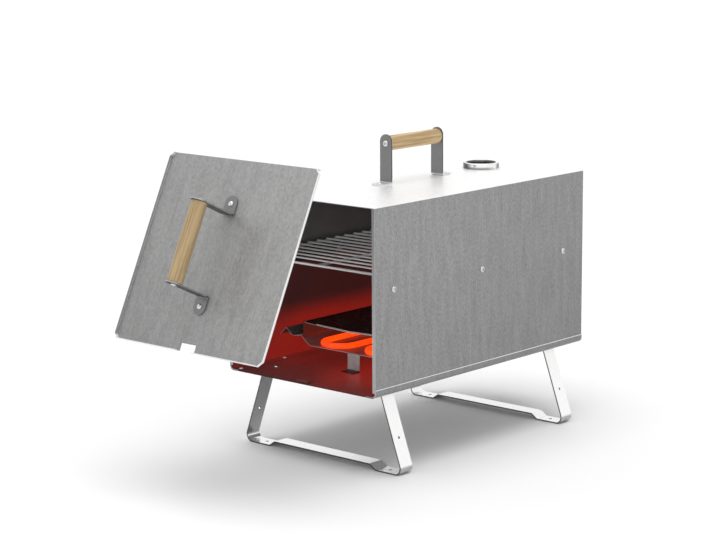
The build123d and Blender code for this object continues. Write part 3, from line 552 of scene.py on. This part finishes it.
def patterned(name, colour, roughness, metallic, pattern, dark, light, depth):
    """One colour with a fine pattern in its tone, its roughness and its surface."""
    mat = Finish(name, colour, metallic, roughness)
    marks = mat.noise(*pattern)
    mat.paint(mat.tones(marks, colour, (0.3, dark), (0.7, light)))
    mat.rough(marks, max(0.04, roughness - 0.06), roughness + 0.08)
    mat.bump(marks, depth)
    return mat.material


def wire_coat(name, colour, front, back, half):
    """Plated wire, with the faint light that the chamber's walls throw on it painted on as glow, stronger
    towards the back, and none on the side wires, which are left in painted shade.
    """
    mat = Finish(name, colour, 0.5, 0.3)
    marks = mat.noise(160.0, 4.0, 0.6)
    mat.paint(mat.tones(marks, colour, (0.3, 0.96), (0.7, 1.04)))
    mat.rough(marks, 0.30, 0.36)
    # Painted light as glow, stronger towards the back; the side wires get none and stay in painted shade
    depth = mat.span(mat.along(BACKWARD), front, back)
    beside = mat.above(mat.aside(ACROSS), half - 0.0045)
    mat.glow(mat.mix(beside, mat.mix(depth, grey(0.01), (0.095, 0.098, 0.098)), BLACK))
    return mat.material


def floor_rivet(colour):
    """Rivet heads with a painted glow for the chamber's light they catch, and painted shade on those behind
    the right wall.
    """
    mat = Finish("floor rivet metal", colour, 0.3, 0.34)
    # Painted shade on the rivets behind the right wall, a painted glow on the others
    corner = mat.span(mat.along(ACROSS), 0.100, 0.125)
    mat.paint(mat.mix(corner, colour, (0.10, 0.03, 0.03)))
    mat.glow(mat.mix(corner, (0.16, 0.115, 0.11), BLACK))
    return mat.material


def polished_ring(centre, inner, roof):
    """Mirror-bright ring with painted reflections of the room's dark at its ends and on its low side, and a
    darker bore.
    """
    mat = Finish("polished collar", grey(0.90), 1.0, 0.12)
    marks = mat.noise(160.0, 4.0, 0.6)
    tone = mat.ramp(marks, (0.3, grey(0.84)), (0.7, grey(0.92)))
    facing = mat.along((-0.747, -0.665, 0), "Normal")
    # Painted reflection: the low side is darkened as if it mirrored a dark room
    painted_dark_low_side = mat.times(
        mat.span(mat.along(UPWARD), roof + 0.002, roof + 0.0045, 1.0, 0.0),
        mat.span(facing, -0.60, -0.25, 0.35, 0.75), mat.span(facing, -0.72, -0.62))
    tone = mat.mix(painted_dark_low_side, tone, (0.16, 0.16, 0.155))
    # Painted reflection of the room's dark at the ring's ends
    ends = mat.math("MAXIMUM", mat.span(facing, 0.45, 0.85), mat.span(facing, -0.72, -0.95))
    tone = mat.mix(ends, tone, (0.10, 0.095, 0.10))
    flat = mat.places((1, 1, 0), shift=(-centre.x, -centre.y, 0))
    radial = mat.node("ShaderNodeVectorMath", {0: flat}, operation="LENGTH").outputs["Value"]
    bore_side = mat.span(radial, inner + 0.0002, inner + 0.0012, 1.0, 0.0)
    mat.paint(mat.mix(bore_side, tone, (0.10, 0.095, 0.09)))
    mat.rough(marks, 0.08, 0.20)
    mat.bump(marks, 0.05)
    return mat.material


def dress(material, *names):
    """Gives the fixed frame's pieces their finish."""
    for name in names:
        mesh = NODES[name].data
        mesh.materials.clear()
        mesh.materials.append(material)


# Meshes


def link_object(name, data):
    made = bpy.data.objects.new(name, data)
    bpy.context.scene.collection.objects.link(made)
    return made


def new_piece(name, mesh, body, replaced, material=None):
    """Links a finished mesh, lets it ride on its body and stand for the frame's pieces."""
    piece = link_object(name, mesh)
    if material is not None:
        mesh.materials.append(material)
    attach(piece, body)
    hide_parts(*replaced)


def plain_mesh(shape, name):
    """Turns a bmesh under construction into a mesh."""
    mesh = bpy.data.meshes.new(name)
    shape.to_mesh(mesh)
    shape.free()
    return mesh


def evaluated_mesh(carrier):
    """The mesh that an object's modifiers make of it."""
    bpy.context.view_layer.update()
    graph = bpy.context.evaluated_depsgraph_get()
    return bpy.data.meshes.new_from_object(carrier.evaluated_get(graph), depsgraph=graph)


def lathe(profile, place, axis, segments):
    """A closed turned mesh from (radius, height) points along an axis; ends on the axis close at a point."""
    turned = axis.normalized()
    side = turned.orthogonal().normalized()
    other = turned.cross(side)
    shape = bmesh.new()
    rings = []
    for radius, height in profile:
        centre = place + turned * height
        angles = [2 * pi * step / segments for step in range(segments if radius else 1)]
        rings.append([shape.verts.new(centre + (side * cos(a) + other * sin(a)) * radius) for a in angles])
    pairs = list(zip(rings, rings[1:]))
    if len(rings[0]) > 1 and len(rings[-1]) > 1:
        pairs.append((rings[-1], rings[0]))
    for low, high in pairs:
        for step in range(segments):
            after = (step + 1) % segments
            corners = [ring[spot % len(ring)] for ring, spot in (
                (low, step), (low, after), (high, after), (high, step))]
            corners = list(dict.fromkeys(corners))
            if len(corners) > 2:
                shape.faces.new(corners)
    bmesh.ops.recalc_face_normals(shape, faces=shape.faces[:])
    for face in shape.faces:
        face.smooth = True
    mesh = plain_mesh(shape, "turned")
    mesh.set_sharp_from_angle(angle=radians(38))
    return mesh


def arc_points(centre_radius, centre_height, radius, start, end, steps):
    """Points on an arc in a turned profile, angles in degrees from the outward direction."""
    angles = [radians(start + (end - start) * step / steps) for step in range(steps + 1)]
    return [(centre_radius + radius * cos(angle), centre_height + radius * sin(angle)) for angle in angles]


def islands(name):
    """The separate solids of one of the frame's pieces, each an array of corners."""
    copy = bmesh.new()
    copy.from_mesh(NODES[name].data)
    bmesh.ops.remove_doubles(copy, verts=copy.verts[:], dist=1e-6)
    left = set(copy.verts)
    found = []
    while left:
        stack = [left.pop()]
        group = []
        while stack:
            vertex = stack.pop()
            group.append(tuple(vertex.co))
            for edge in vertex.link_edges:
                other = edge.other_vert(vertex)
                if other in left:
                    left.remove(other)
                    stack.append(other)
        found.append(np.array(group))
    copy.free()
    return sorted(found, key=lambda points: tuple(points.mean(axis=0).round(4)))


def middle_and_size(points, directions):
    """Middle place of some points along each direction, and how far they reach from end to end."""
    reach = [points @ np.array(direction) for direction in directions]
    return ([float((values.max() + values.min()) / 2) for values in reach],
            [float(values.max() - values.min()) for values in reach])


def fastener_spots(name, outward):
    """Head's top centre, way and length of each fastener. outward is a direction or a rule on the place."""
    spots = []
    for points in islands(name):
        way = outward
        if callable(outward):
            way = outward(Vector((points.max(axis=0) + points.min(axis=0)) / 2))
        way = way.normalized()
        first = way.orthogonal().normalized()
        second = way.cross(first)
        middle, size = middle_and_size(points, (first, second, way))
        top = float((points @ np.array(way)).max())
        spots.append((first * middle[0] + second * middle[1] + way * top, way, size[2]))
    return spots


# Geometry node trees


class Tree(Nodes):
    """A geometry node tree under construction, with named inputs."""

    def __init__(self, name):
        super().__init__(bpy.data.node_groups.new(name, "GeometryNodeTree"))
        self.tree.interface.new_socket(name="Geometry", in_out="OUTPUT", socket_type="NodeSocketGeometry")
        self.inputs = {}
        self.entry = self.node("NodeGroupInput")
        self.exit = self.node("NodeGroupOutput")

    def take(self, **inputs):
        """Adds inputs, each given by its kind, or by a number as its default."""
        for key, value in inputs.items():
            name = key.replace("_", " ")
            kind = value if isinstance(value, str) else type(value).__name__.title()
            socket = self.tree.interface.new_socket(name=name, socket_type="NodeSocket" + kind)
            if kind != value:
                socket.default_value = value
            self.inputs[name] = socket.identifier
        return self.entry.outputs[:-1]

    def shape(self, kind, inputs, **values):
        return self.made("GeometryNode" + kind, inputs, **values)

    def vector(self, **axes):
        return self.made("ShaderNodeCombineXYZ", axes)

    def attribute(self, name, kind):
        return self.shape("InputNamedAttribute", {"Name": name}, data_type=kind)

    def wire(self, curve, radius, sides, caps=True):
        """A round wire along a curve."""
        ring = self.shape("CurvePrimitiveCircle", {"Resolution": sides, "Radius": radius})
        return self.shape("CurveToMesh", {"Curve": curve, "Profile Curve": ring, "Fill Caps": caps})

    def straight(self, start, end):
        return self.shape("CurvePrimitiveLine", {"Start": start, "End": end})

    def set_on(self, points, instance, **more):
        return self.shape("InstanceOnPoints", {"Points": points, "Instance": instance, **more})

    def finish(self, geometry, material, smooth=False):
        if smooth:
            geometry = self.shape("SetShadeSmooth", {"Geometry": geometry})
        real = self.shape("RealizeInstances", {"Geometry": geometry})
        coat = self.shape("SetMaterial", {"Geometry": real, "Material": material})
        self.put(self.exit.inputs[0], coat)

    def make(self, name, values, source=None):
        """Runs the tree with these input values and returns the plain mesh."""
        carrier = link_object(name, source or bpy.data.meshes.new(name))
        modifier = carrier.modifiers.new(name, "NODES")
        modifier.node_group = self.tree
        for key, value in values.items():
            modifier[self.inputs[key]] = value
        result = evaluated_mesh(carrier)
        bpy.data.objects.remove(carrier)
        if not result.polygons:
            raise RuntimeError(f"{name}: the tree made no faces")
        return result


def fastener_tree():
    """Sets one fastener on each point, turned to face along the point's outward direction."""
    tree = Tree("fastener rows")
    points, fastener, turn, seed, coat = tree.take(
        Points="Geometry", Fastener="Object", Turn=0.0, Seed=3, Finish="Material")
    shape = tree.node("GeometryNodeObjectInfo", {"Object": fastener, "As Instance": True})
    way = tree.attribute("outward", "FLOAT_VECTOR")
    facing = tree.made("FunctionNodeAlignRotationToVector", {"Vector": way}, axis="Z")
    rows = tree.set_on(points, shape.outputs["Geometry"], Rotation=facing)
    spread = tree.node("FunctionNodeRandomValue", {"Seed": seed, 3: turn}, data_type="FLOAT")
    spin = tree.vector(Z=spread.outputs[1])
    tree.finish(tree.shape("RotateInstances", {"Instances": rows, "Rotation": spin}), coat)
    return tree


def tube_tree():
    """Bends a round tube along a line of points, each with its own bend radius."""
    tree = Tree("bent tube")
    line, radius, sides, coat = tree.take(Line="Geometry", Tube_Radius=0.004, Sides=24, Finish="Material")
    path = tree.shape("MeshToCurve", {"Mesh": line})
    rounded = tree.shape("FilletCurve", {
        "Curve": path, "Radius": tree.attribute("bend", "FLOAT"), "Limit Radius": True, "Count": 14},
        mode="POLY")
    tree.finish(tree.wire(rounded, radius, sides), coat, smooth=True)
    return tree


def grate_tree():
    """A round-cornered wire frame, a stiffener, and cross wires with a weld bead at each crossing."""
    tree = Tree("wire grate")
    blank, length, width, count, frame_wire, cross_wire, corner, lift, weld, coat = tree.take(
        Blank="Geometry", Length=0.4, Width=0.26, Cross_Wires=19, Frame_Wire=0.002, Cross_Wire=0.0015,
        Corner=0.008, Lift=0.003, Weld=0.0019, Finish="Material")
    front, back = tree.times(length, -0.5), tree.times(length, 0.5)
    left, right = tree.times(width, -0.5), tree.times(width, 0.5)

    outline = tree.shape("CurvePrimitiveQuadrilateral", {"Width": width, "Height": length})
    rounded = tree.shape("FilletCurve", {"Curve": outline, "Radius": corner, "Count": 10}, mode="POLY")
    edge = tree.wire(rounded, frame_wire, 16, False)
    bar = tree.wire(tree.straight(tree.vector(Y=front), tree.vector(Y=back)), frame_wire, 16)
    pitch = tree.math("DIVIDE", length, tree.math("ADD", count, 1.0))
    row = tree.shape("MeshLine", {
        "Count": count, "Start Location": tree.vector(Y=tree.math("ADD", front, pitch), Z=lift),
        "Offset": tree.vector(Y=pitch)}, mode="OFFSET")
    wire = tree.wire(tree.straight(tree.vector(X=left), tree.vector(X=right)), cross_wire, 14)
    bead = tree.shape("MeshIcoSphere", {"Radius": weld, "Subdivisions": 3})
    flat = tree.shape("Transform", {"Geometry": bead, "Scale": (1.15, 1.0, 0.8)})
    beads = []
    for place in (left, right, 0.0):
        shift = tree.vector(X=place, Z=tree.times(lift, -0.55))
        moved = tree.shape("Transform", {"Geometry": flat, "Translation": shift})
        beads.append(tree.set_on(row, moved))
    joined = tree.node("GeometryNodeJoinGeometry")
    for part in (*reversed(beads), tree.set_on(row, wire), bar, edge):
        tree.put(joined.inputs[0], part)
    tree.finish(joined.outputs[0], coat, smooth=True)
    return tree


# Fasteners


def cut(mesh, cutters):
    """The mesh with these closed meshes taken out of it."""
    carrier = link_object("cut", mesh)
    helpers = [link_object("cutter", cutter) for cutter in cutters]
    for helper in helpers:
        modifier = carrier.modifiers.new("cut", "BOOLEAN")
        modifier.operation = "DIFFERENCE"
        modifier.solver = "EXACT"
        modifier.object = helper
    result = evaluated_mesh(carrier)
    for helper in (carrier, *helpers):
        bpy.data.objects.remove(helper)
    result.set_sharp_from_angle(angle=radians(32))
    return result


def block(low, high):
    """A closed block that cuts a recess."""
    shape = bmesh.new()
    bmesh.ops.create_cube(shape, size=1.0)
    for vertex in shape.verts:
        vertex.co = Vector([low[i] + (high[i] - low[i]) * (vertex.co[i] + 0.5) for i in range(3)])
    return plain_mesh(shape, "block")


def screw_shape(head_radius, head, shank_radius, recess, full_length):
    """A pan-head screw with a cross recess, its top centre at the origin, facing +Z."""
    pitch = 0.0008
    length = full_length - head
    seat = -head
    bottom = -full_length
    profile = []
    for step in range(9):
        angle = step / 8 * pi / 2
        profile.append((head_radius * sin(angle) ** 0.9 if step else 0.0,
                        seat + head * (0.22 + 0.78 * cos(angle))))
    profile += [(head_radius, seat + head * 0.12), (head_radius * 0.97, seat), (shank_radius, seat)]
    turns = max(3, int((length - pitch / 2) / pitch))
    for step in range(turns):
        profile += [(shank_radius * 0.86, seat - length * (step + 0.25) / turns),
                    (shank_radius, seat - length * (step + 0.75) / turns)]
    profile += [(shank_radius * 0.8, bottom), (0.0, bottom)]
    reach = head_radius * 0.56
    half = recess / 2
    deep = -head * 0.62
    slots = [block((-x, -y, deep), (x, y, head)) for x, y in ((reach, half), (half, reach))]
    return cut(lathe(profile, Vector(), UPWARD, 40), slots)


def rivet_shape(head_radius, head, shank_radius, length):
    """A dome-headed rivet with a pulled dimple, its top centre at the origin, facing +Z."""
    dimple = head_radius * 0.26
    profile = [(0.0, -head * 0.30), (dimple * 0.75, -head * 0.28), (dimple, -head * 0.05)]
    for step in range(1, 9):
        angle = step / 8 * pi / 2
        radius = dimple + (head_radius - dimple) * sin(angle)
        profile.append((radius, -head + head * cos(angle)))
    tail = min(length - head, shank_radius * 0.9)
    profile += [
        (shank_radius, -head), (shank_radius, -length + tail), (shank_radius * 1.55, -length + tail * 0.9),
        (shank_radius * 1.6, -length + tail * 0.3), (shank_radius * 1.2, -length), (0.0, -length)]
    return lathe(profile, Vector(), UPWARD, 40)


def away(axis, middle, place):
    """The way along an axis that leads from the middle to a place."""
    return axis if place.dot(axis) > middle else -axis


def set_fasteners(node, outward, shape, tree, material, turn, seed):
    """Makes one row of fasteners through the tree, in place of the frame's plain ones."""
    name = node.removeprefix("element_") + "_set"
    body = "door" if node.startswith("door") else "smoker_body"
    spots = fastener_spots(node, outward)
    cloud = bpy.data.meshes.new(name + "_points")
    cloud.from_pydata([tuple(place) for place, way, length in spots], [], [])
    ways = cloud.attributes.new("outward", "FLOAT_VECTOR", "POINT")
    ways.data.foreach_set("vector", [value for place, way, length in spots for value in way])
    source = link_object(name + "_one", shape(spots[0][2]))
    mesh = tree.make(name, {"Fastener": source, "Turn": turn, "Seed": seed, "Finish": material}, cloud)
    bpy.data.objects.remove(source)
    new_piece(name, mesh, body, (node,))


# Operators, one for each group of pieces


class SMOKER_OT_box(Operator):
    """Finishes the sheets of the box, its back, its rails and its catch"""

    bl_idname = "smoker.box"
    bl_label = "Sheet box"

    def execute(self, context):
        side = galvanised(context.scene.smoker_sheet, context.scene.smoker_heat)
        dress(side, "body_shell", "back_panel", "bottom_pan")
        dress(inner_sheet("rail sheet", grey(0.06)), "grate_rail_left", "grate_rail_right")
        # The catch gets the element's red light painted on as glow
        dress(inner_sheet("catch sheet", (0.02, 0.015, 0.015), red_glow=(0.050, 0.009, 0.007)), "door_catch")
        return {"FINISHED"}


class SMOKER_OT_door(Operator):
    """Finishes the lift-off door"""

    bl_idname = "smoker.door"
    bl_label = "Lift-off door"

    def execute(self, context):
        dress(door_sheet(context.scene.smoker_sheet), "door_panel")
        return {"FINISHED"}


class SMOKER_OT_strips(Operator):
    """Finishes the bent strips: the legs and the arms of both grips"""

    bl_idname = "smoker.strips"
    bl_label = "Bent strips"

    def execute(self, context):
        look = context.scene.smoker_sheet
        dull = look.arm_colour
        dress(leg_strip(look), "front_leg", "rear_leg")
        # Carry arms: painted light on the feet, painted shade on the sheared edges
        carry = arm_strip("carry arm strip", dull, UPWARD, SHELL_HIGH.z, BACKWARD, 3.4, 1.0, 0.32)
        dress(carry, "carry_arm_front", "carry_arm_rear")
        # Door arms: painted shade on the undersides, painted highlights on the sheared edges
        door = arm_strip("door arm strip", dull, DOOR_OUT, DOOR_FACE, DOOR_UP, 1.05, 0.16, 1.9)
        dress(door, "door_arm_lower", "door_arm_upper")
        return {"FINISHED"}


class SMOKER_OT_grips(Operator):
    """Turns the two wooden bars"""

    bl_idname = "smoker.grips"
    bl_label = "Wooden grips"

    def execute(self, context):
        look = context.scene.smoker_wood
        edge = look.edge_round
        for node, body, axis in (("carry_grip", "smoker_body", BACKWARD), ("door_grip", "door", DOOR_UP)):
            side = axis.cross(ACROSS)
            middle, size = middle_and_size(islands(node)[0], (ACROSS, side, axis))
            radius, half = size[0] / 2, size[2] / 2
            centre = ACROSS * middle[0] + side * middle[1] + axis * middle[2]
            pilot = [(0.0, -half + 0.004), (0.0021, -half + 0.004), (0.0021, -half + 0.0003), (0.0024, -half)]
            profile = pilot + arc_points(radius - edge, -half + edge, edge, -90, 0, 6)
            for share in (step / 12 for step in range(1, 12)):
                swell = 1 - 0.004 * cos(2 * pi * share * 3)
                profile.append((radius * min(1.0, swell), -half + edge + (2 * half - 2 * edge) * share))
            profile += arc_points(radius - edge, half - edge, edge, 0, 90, 6)
            profile += [(reach, -height) for reach, height in reversed(pilot)]
            # Painted shade on the door's grip
            tone = look.door_shade if body == "door" else 1.0
            wood = turned_wood(node + " wood", shade(look.light_colour, tone), shade(look.dark_colour, tone),
                               axis, middle[2], half)
            new_piece(node + "_turned", lathe(profile, centre, axis, 72), body, (node,), wood)
        return {"FINISHED"}


class SMOKER_OT_collar(Operator):
    """Rolls the bright vent collar"""

    bl_idname = "smoker.collar"
    bl_label = "Vent collar"

    def execute(self, context):
        low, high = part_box("vent_collar")
        centre = (low + high) / 2
        centre.z = 0
        roof = SHELL_HIGH.z
        outer = (high.x - low.x) / 2
        inner = outer - 0.005
        bore = inner - 0.0008
        spigot = inner - 0.00005
        bead = 0.0024
        profile = [(bore, low.z), (spigot, low.z), (spigot, roof - 0.0008), (inner, roof),
                   (outer - 0.0005, roof), (outer, roof + 0.0006)]
        profile += arc_points(outer - bead, high.z - bead, bead, 0, 90, 10)
        profile += arc_points(inner + bead * 0.8, high.z - bead, bead, 90, 165, 8)
        profile += [(bore, roof + 0.0045)]
        new_piece("vent_collar_rolled", lathe(profile, centre, UPWARD, 128), "smoker_body", ("vent_collar",),
                  polished_ring(centre, inner, roof))
        return {"FINISHED"}


class SMOKER_OT_grate(Operator):
    """Bends and welds the wire grate"""

    bl_idname = "smoker.grate"
    bl_label = "Wire grate"

    def execute(self, context):
        look = context.scene.smoker_grate
        low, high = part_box("cooking_grate")
        wire = look.frame_wire
        frame_height = low.z + wire
        plated = wire_coat("plated wire", grey(0.60), low.y, low.y + 0.20, high.x)
        mesh = grate_tree().make("grate", {
            "Length": high.y - low.y - 2 * wire, "Width": high.x - low.x - 2 * wire,
            "Cross Wires": look.wires, "Frame Wire": wire, "Cross Wire": look.cross_wire,
            "Corner": look.corner, "Lift": high.z - look.cross_wire - frame_height, "Weld": look.weld,
            "Finish": plated})
        centre = (low + high) / 2
        centre.z = frame_height
        mesh.transform(Matrix.Translation(centre))
        new_piece("cooking_grate_wires", mesh, "grate", ("cooking_grate",))
        return {"FINISHED"}


class SMOKER_OT_element(Operator):
    """Bends the glowing tube and finishes its plate and pins"""

    bl_idname = "smoker.element"
    bl_label = "Heating element"

    def execute(self, context):
        heat = context.scene.smoker_heat
        low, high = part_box("heating_element")
        middle = (low.z + high.z) / 2
        front = -0.242
        inner, outer = 0.0165, 0.0695
        side = [
            (0.020, high.y, 0.0), (0.020, front + 0.420, 0.020), (outer, front + 0.370, 0.020),
            (outer, front + 0.108, 0.026), (inner, front + 0.108, 0.026), (inner, front + 0.330, 0.016)]
        corners = [(-x, y, bend) for x, y, bend in side] + side[::-1]
        line = bpy.data.meshes.new("element_line")
        pairs = [(i, i + 1) for i in range(len(corners) - 1)]
        line.from_pydata([(x, y, middle) for x, y, bend in corners], pairs, [])
        bends = line.attributes.new("bend", "FLOAT", "POINT")
        bends.data.foreach_set("value", [bend for x, y, bend in corners])
        mesh = tube_tree().make("element", {
            "Tube Radius": heat.tube_radius, "Sides": 24, "Finish": glowing_tube(heat)}, line)
        new_piece("heating_element_tube", mesh, "smoker_body", ("heating_element",))
        dress(brushed("plate strip", grey(0.45)), "element_plate")
        dress(patterned("nickel pins", (0.66, 0.60, 0.50), 0.3, *BRIGHT), "element_pins")
        return {"FINISHED"}


class SMOKER_OT_trays(Operator):
    """Finishes the chip tray, its brackets and the drip tray"""

    bl_idname = "smoker.trays"
    bl_label = "Trays"

    def execute(self, context):
        low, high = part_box("chip_tray")
        # The chip tray gets the element's red light painted on as glow over its trough, and a painted
        # highlight on its front edge
        folded = inner_sheet(
            "chip tray sheet", (0.17, 0.165, 0.165), low.y, (0.045, 0.007, 0.006), trough=0.108)
        dress(folded, "chip_tray")
        low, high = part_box("tray_bracket_front")
        # Painted shade at the brackets' feet
        strip = inner_sheet("bracket strip", (0.62, 0.59, 0.59), foot=low.z + 0.002)
        dress(strip, "tray_bracket_front", "tray_bracket_rear")
        low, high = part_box("drip_tray")
        dress(enamel("drip tray enamel", (0.012, 0.010, 0.010), low.y, high.x), "drip_tray")
        return {"FINISHED"}


class SMOKER_OT_fasteners(Operator):
    """Sets the screws and rivets, with their recesses and dimples"""

    bl_idname = "smoker.fasteners"
    bl_label = "Screws and rivets"

    def execute(self, context):
        look = context.scene.smoker_fasteners
        tree = fastener_tree()
        zinc = patterned("zinc screws", grey(0.66), 0.28, *BRIGHT)
        soft = patterned("rivet metal", grey(0.70), 0.34, *BRIGHT)
        lit = floor_rivet((0.80, 0.72, 0.71))
        low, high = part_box("door_grip")
        door_ends = partial(away, DOOR_UP, ((low + high) / 2).dot(DOOR_UP))
        large = partial(screw_shape, 0.0045, 0.0026, 0.0025, look.recess)
        small = partial(screw_shape, 0.0028, 0.0016, 0.0015, look.recess * 0.7)
        seam = partial(rivet_shape, 0.003, 0.001, 0.0016)
        arm = partial(rivet_shape, 0.004, 0.0022, 0.002)
        rows = (
            ("rail_screws", partial(away, ACROSS, 0.0), large, zinc),
            ("leg_screws", UPWARD, large, zinc),
            ("carry_screws", partial(away, BACKWARD, -0.002), large, zinc),
            ("door_screws", door_ends, large, zinc),
            ("cover_screws", BACKWARD, small, zinc),
            ("inlet_screws", BACKWARD, small, zinc),
            ("element_plate_screws", BACKWARD, small, zinc),
            ("pan_rivets", UPWARD, seam, lit),
            ("back_rivets", BACKWARD, seam, soft),
            ("catch_rivet", UPWARD, seam, lit),
            ("carry_rivets", UPWARD, arm, soft),
            ("door_rivets", DOOR_OUT, arm, soft),
        )
        for seed, (node, outward, shape, coat) in enumerate(rows, 2):
            set_fasteners(node, outward, shape, tree, coat, look.turn if coat == zinc else 0.0, seed)
        dress(zinc, "leg_nuts", "rail_nuts")
        return {"FINISHED"}


class SMOKER_OT_mains(Operator):
    """Finishes the terminal cover, the inlet, the cut-out and its button"""

    bl_idname = "smoker.mains"
    bl_label = "Mains side"

    def execute(self, context):
        black = patterned("black moulding", (0.022, 0.022, 0.023), 0.5, *MOULDED)
        dress(black, "terminal_cover", "appliance_inlet", "thermal_cutout")
        dress(patterned("red moulding", (0.42, 0.02, 0.012), 0.32, *MOULDED), "reset_button")
        dress(patterned("nickel blades", (0.70, 0.66, 0.56), 0.25, *BRIGHT), "inlet_blades")
        return {"FINISHED"}


class SMOKER_OT_stage(Operator):
    """Sets up the floor, the light and the camera"""

    bl_idname = "smoker.stage"
    bl_label = "Stage"

    def execute(self, context):
        scene = context.scene
        look = scene.smoker_stage
        scene.view_settings.view_transform = "Standard"
        shape = bmesh.new()
        bmesh.ops.create_grid(shape, x_segments=2, y_segments=2, size=9.0)
        floor = link_object("floor", plain_mesh(shape, "floor"))
        pale = Finish("pale floor", grey(look.floor_shade), 0.0, 0.75)
        pale.feed("Specular IOR Level", 0.15)
        floor.data.materials.append(pale.material)

        world = bpy.data.worlds.new("studio")
        scene.world = world
        world.use_nodes = True
        sky = Nodes(world.node_tree)
        sky.tree.nodes.clear()
        path = sky.node("ShaderNodeLightPath").outputs
        seen = path["Is Camera Ray"]
        for kind in ("Is Transmission Ray", "Is Glossy Ray"):
            seen = sky.math("MAXIMUM", seen, path[kind])
        soft, white = (sky.node("ShaderNodeBackground", {"Color": WHITE, "Strength": strength}).outputs[0]
                       for strength in (look.surround, 1.0))
        mixed = sky.node("ShaderNodeMixShader", {0: seen, 1: soft, 2: white})
        sky.node("ShaderNodeOutputWorld", {0: mixed.outputs[0]})

        sun = bpy.data.lights.new("overhead", "SUN")
        sun.energy = look.overhead
        sun.angle = radians(50)
        lamp = link_object("overhead", sun)
        lamp.rotation_euler = Vector((-0.05, 0.10, -1)).to_track_quat("-Z", "Y").to_euler()

        lens = bpy.data.cameras.new("camera")
        lens.lens = look.lens
        lens.sensor_width = 36.0
        lens.clip_start = 0.05
        pose = Matrix.Rotation(look.azimuth, 4, "Z") @ Matrix.Rotation(pi / 2 - look.elevation, 4, "X")
        pose @= Matrix.Rotation(look.roll, 4, "Z")
        pose.translation = look.place
        scene.camera = link_object("camera", lens)
        scene.camera.matrix_world = pose
        return {"FINISHED"}


OPERATORS = (
    SMOKER_OT_box, SMOKER_OT_door, SMOKER_OT_strips, SMOKER_OT_grips, SMOKER_OT_collar, SMOKER_OT_grate,
    SMOKER_OT_element, SMOKER_OT_trays, SMOKER_OT_fasteners, SMOKER_OT_mains, SMOKER_OT_stage)


class SMOKER_PT_panel(Panel):
    """Lists the smoker's pieces and their sizes and colours"""

    bl_idname = "SMOKER_PT_panel"
    bl_label = "Table smoker"
    bl_space_type = "VIEW_3D"
    bl_region_type = "UI"
    bl_category = "Smoker"

    def draw(self, context):
        for name, group in GROUPS:
            for key in group.__annotations__:
                self.layout.prop(getattr(context.scene, name), key)
        for operator in OPERATORS:
            self.layout.operator(operator.bl_idname)


def register():
    for name, group in GROUPS:
        bpy.utils.register_class(group)
        setattr(Scene, name, bpy.props.PointerProperty(type=group))
    for operator in OPERATORS:
        bpy.utils.register_class(operator)
    bpy.utils.register_class(SMOKER_PT_panel)


def unregister():
    bpy.utils.unregister_class(SMOKER_PT_panel)
    for operator in reversed(OPERATORS):
        bpy.utils.unregister_class(operator)
    for name, group in reversed(GROUPS):
        delattr(Scene, name)
        bpy.utils.unregister_class(group)


def main():
    register()
    for operator in OPERATORS:
        getattr(bpy.ops.smoker, operator.bl_idname.removeprefix("smoker."))()


if __name__ == "__main__":
    main()
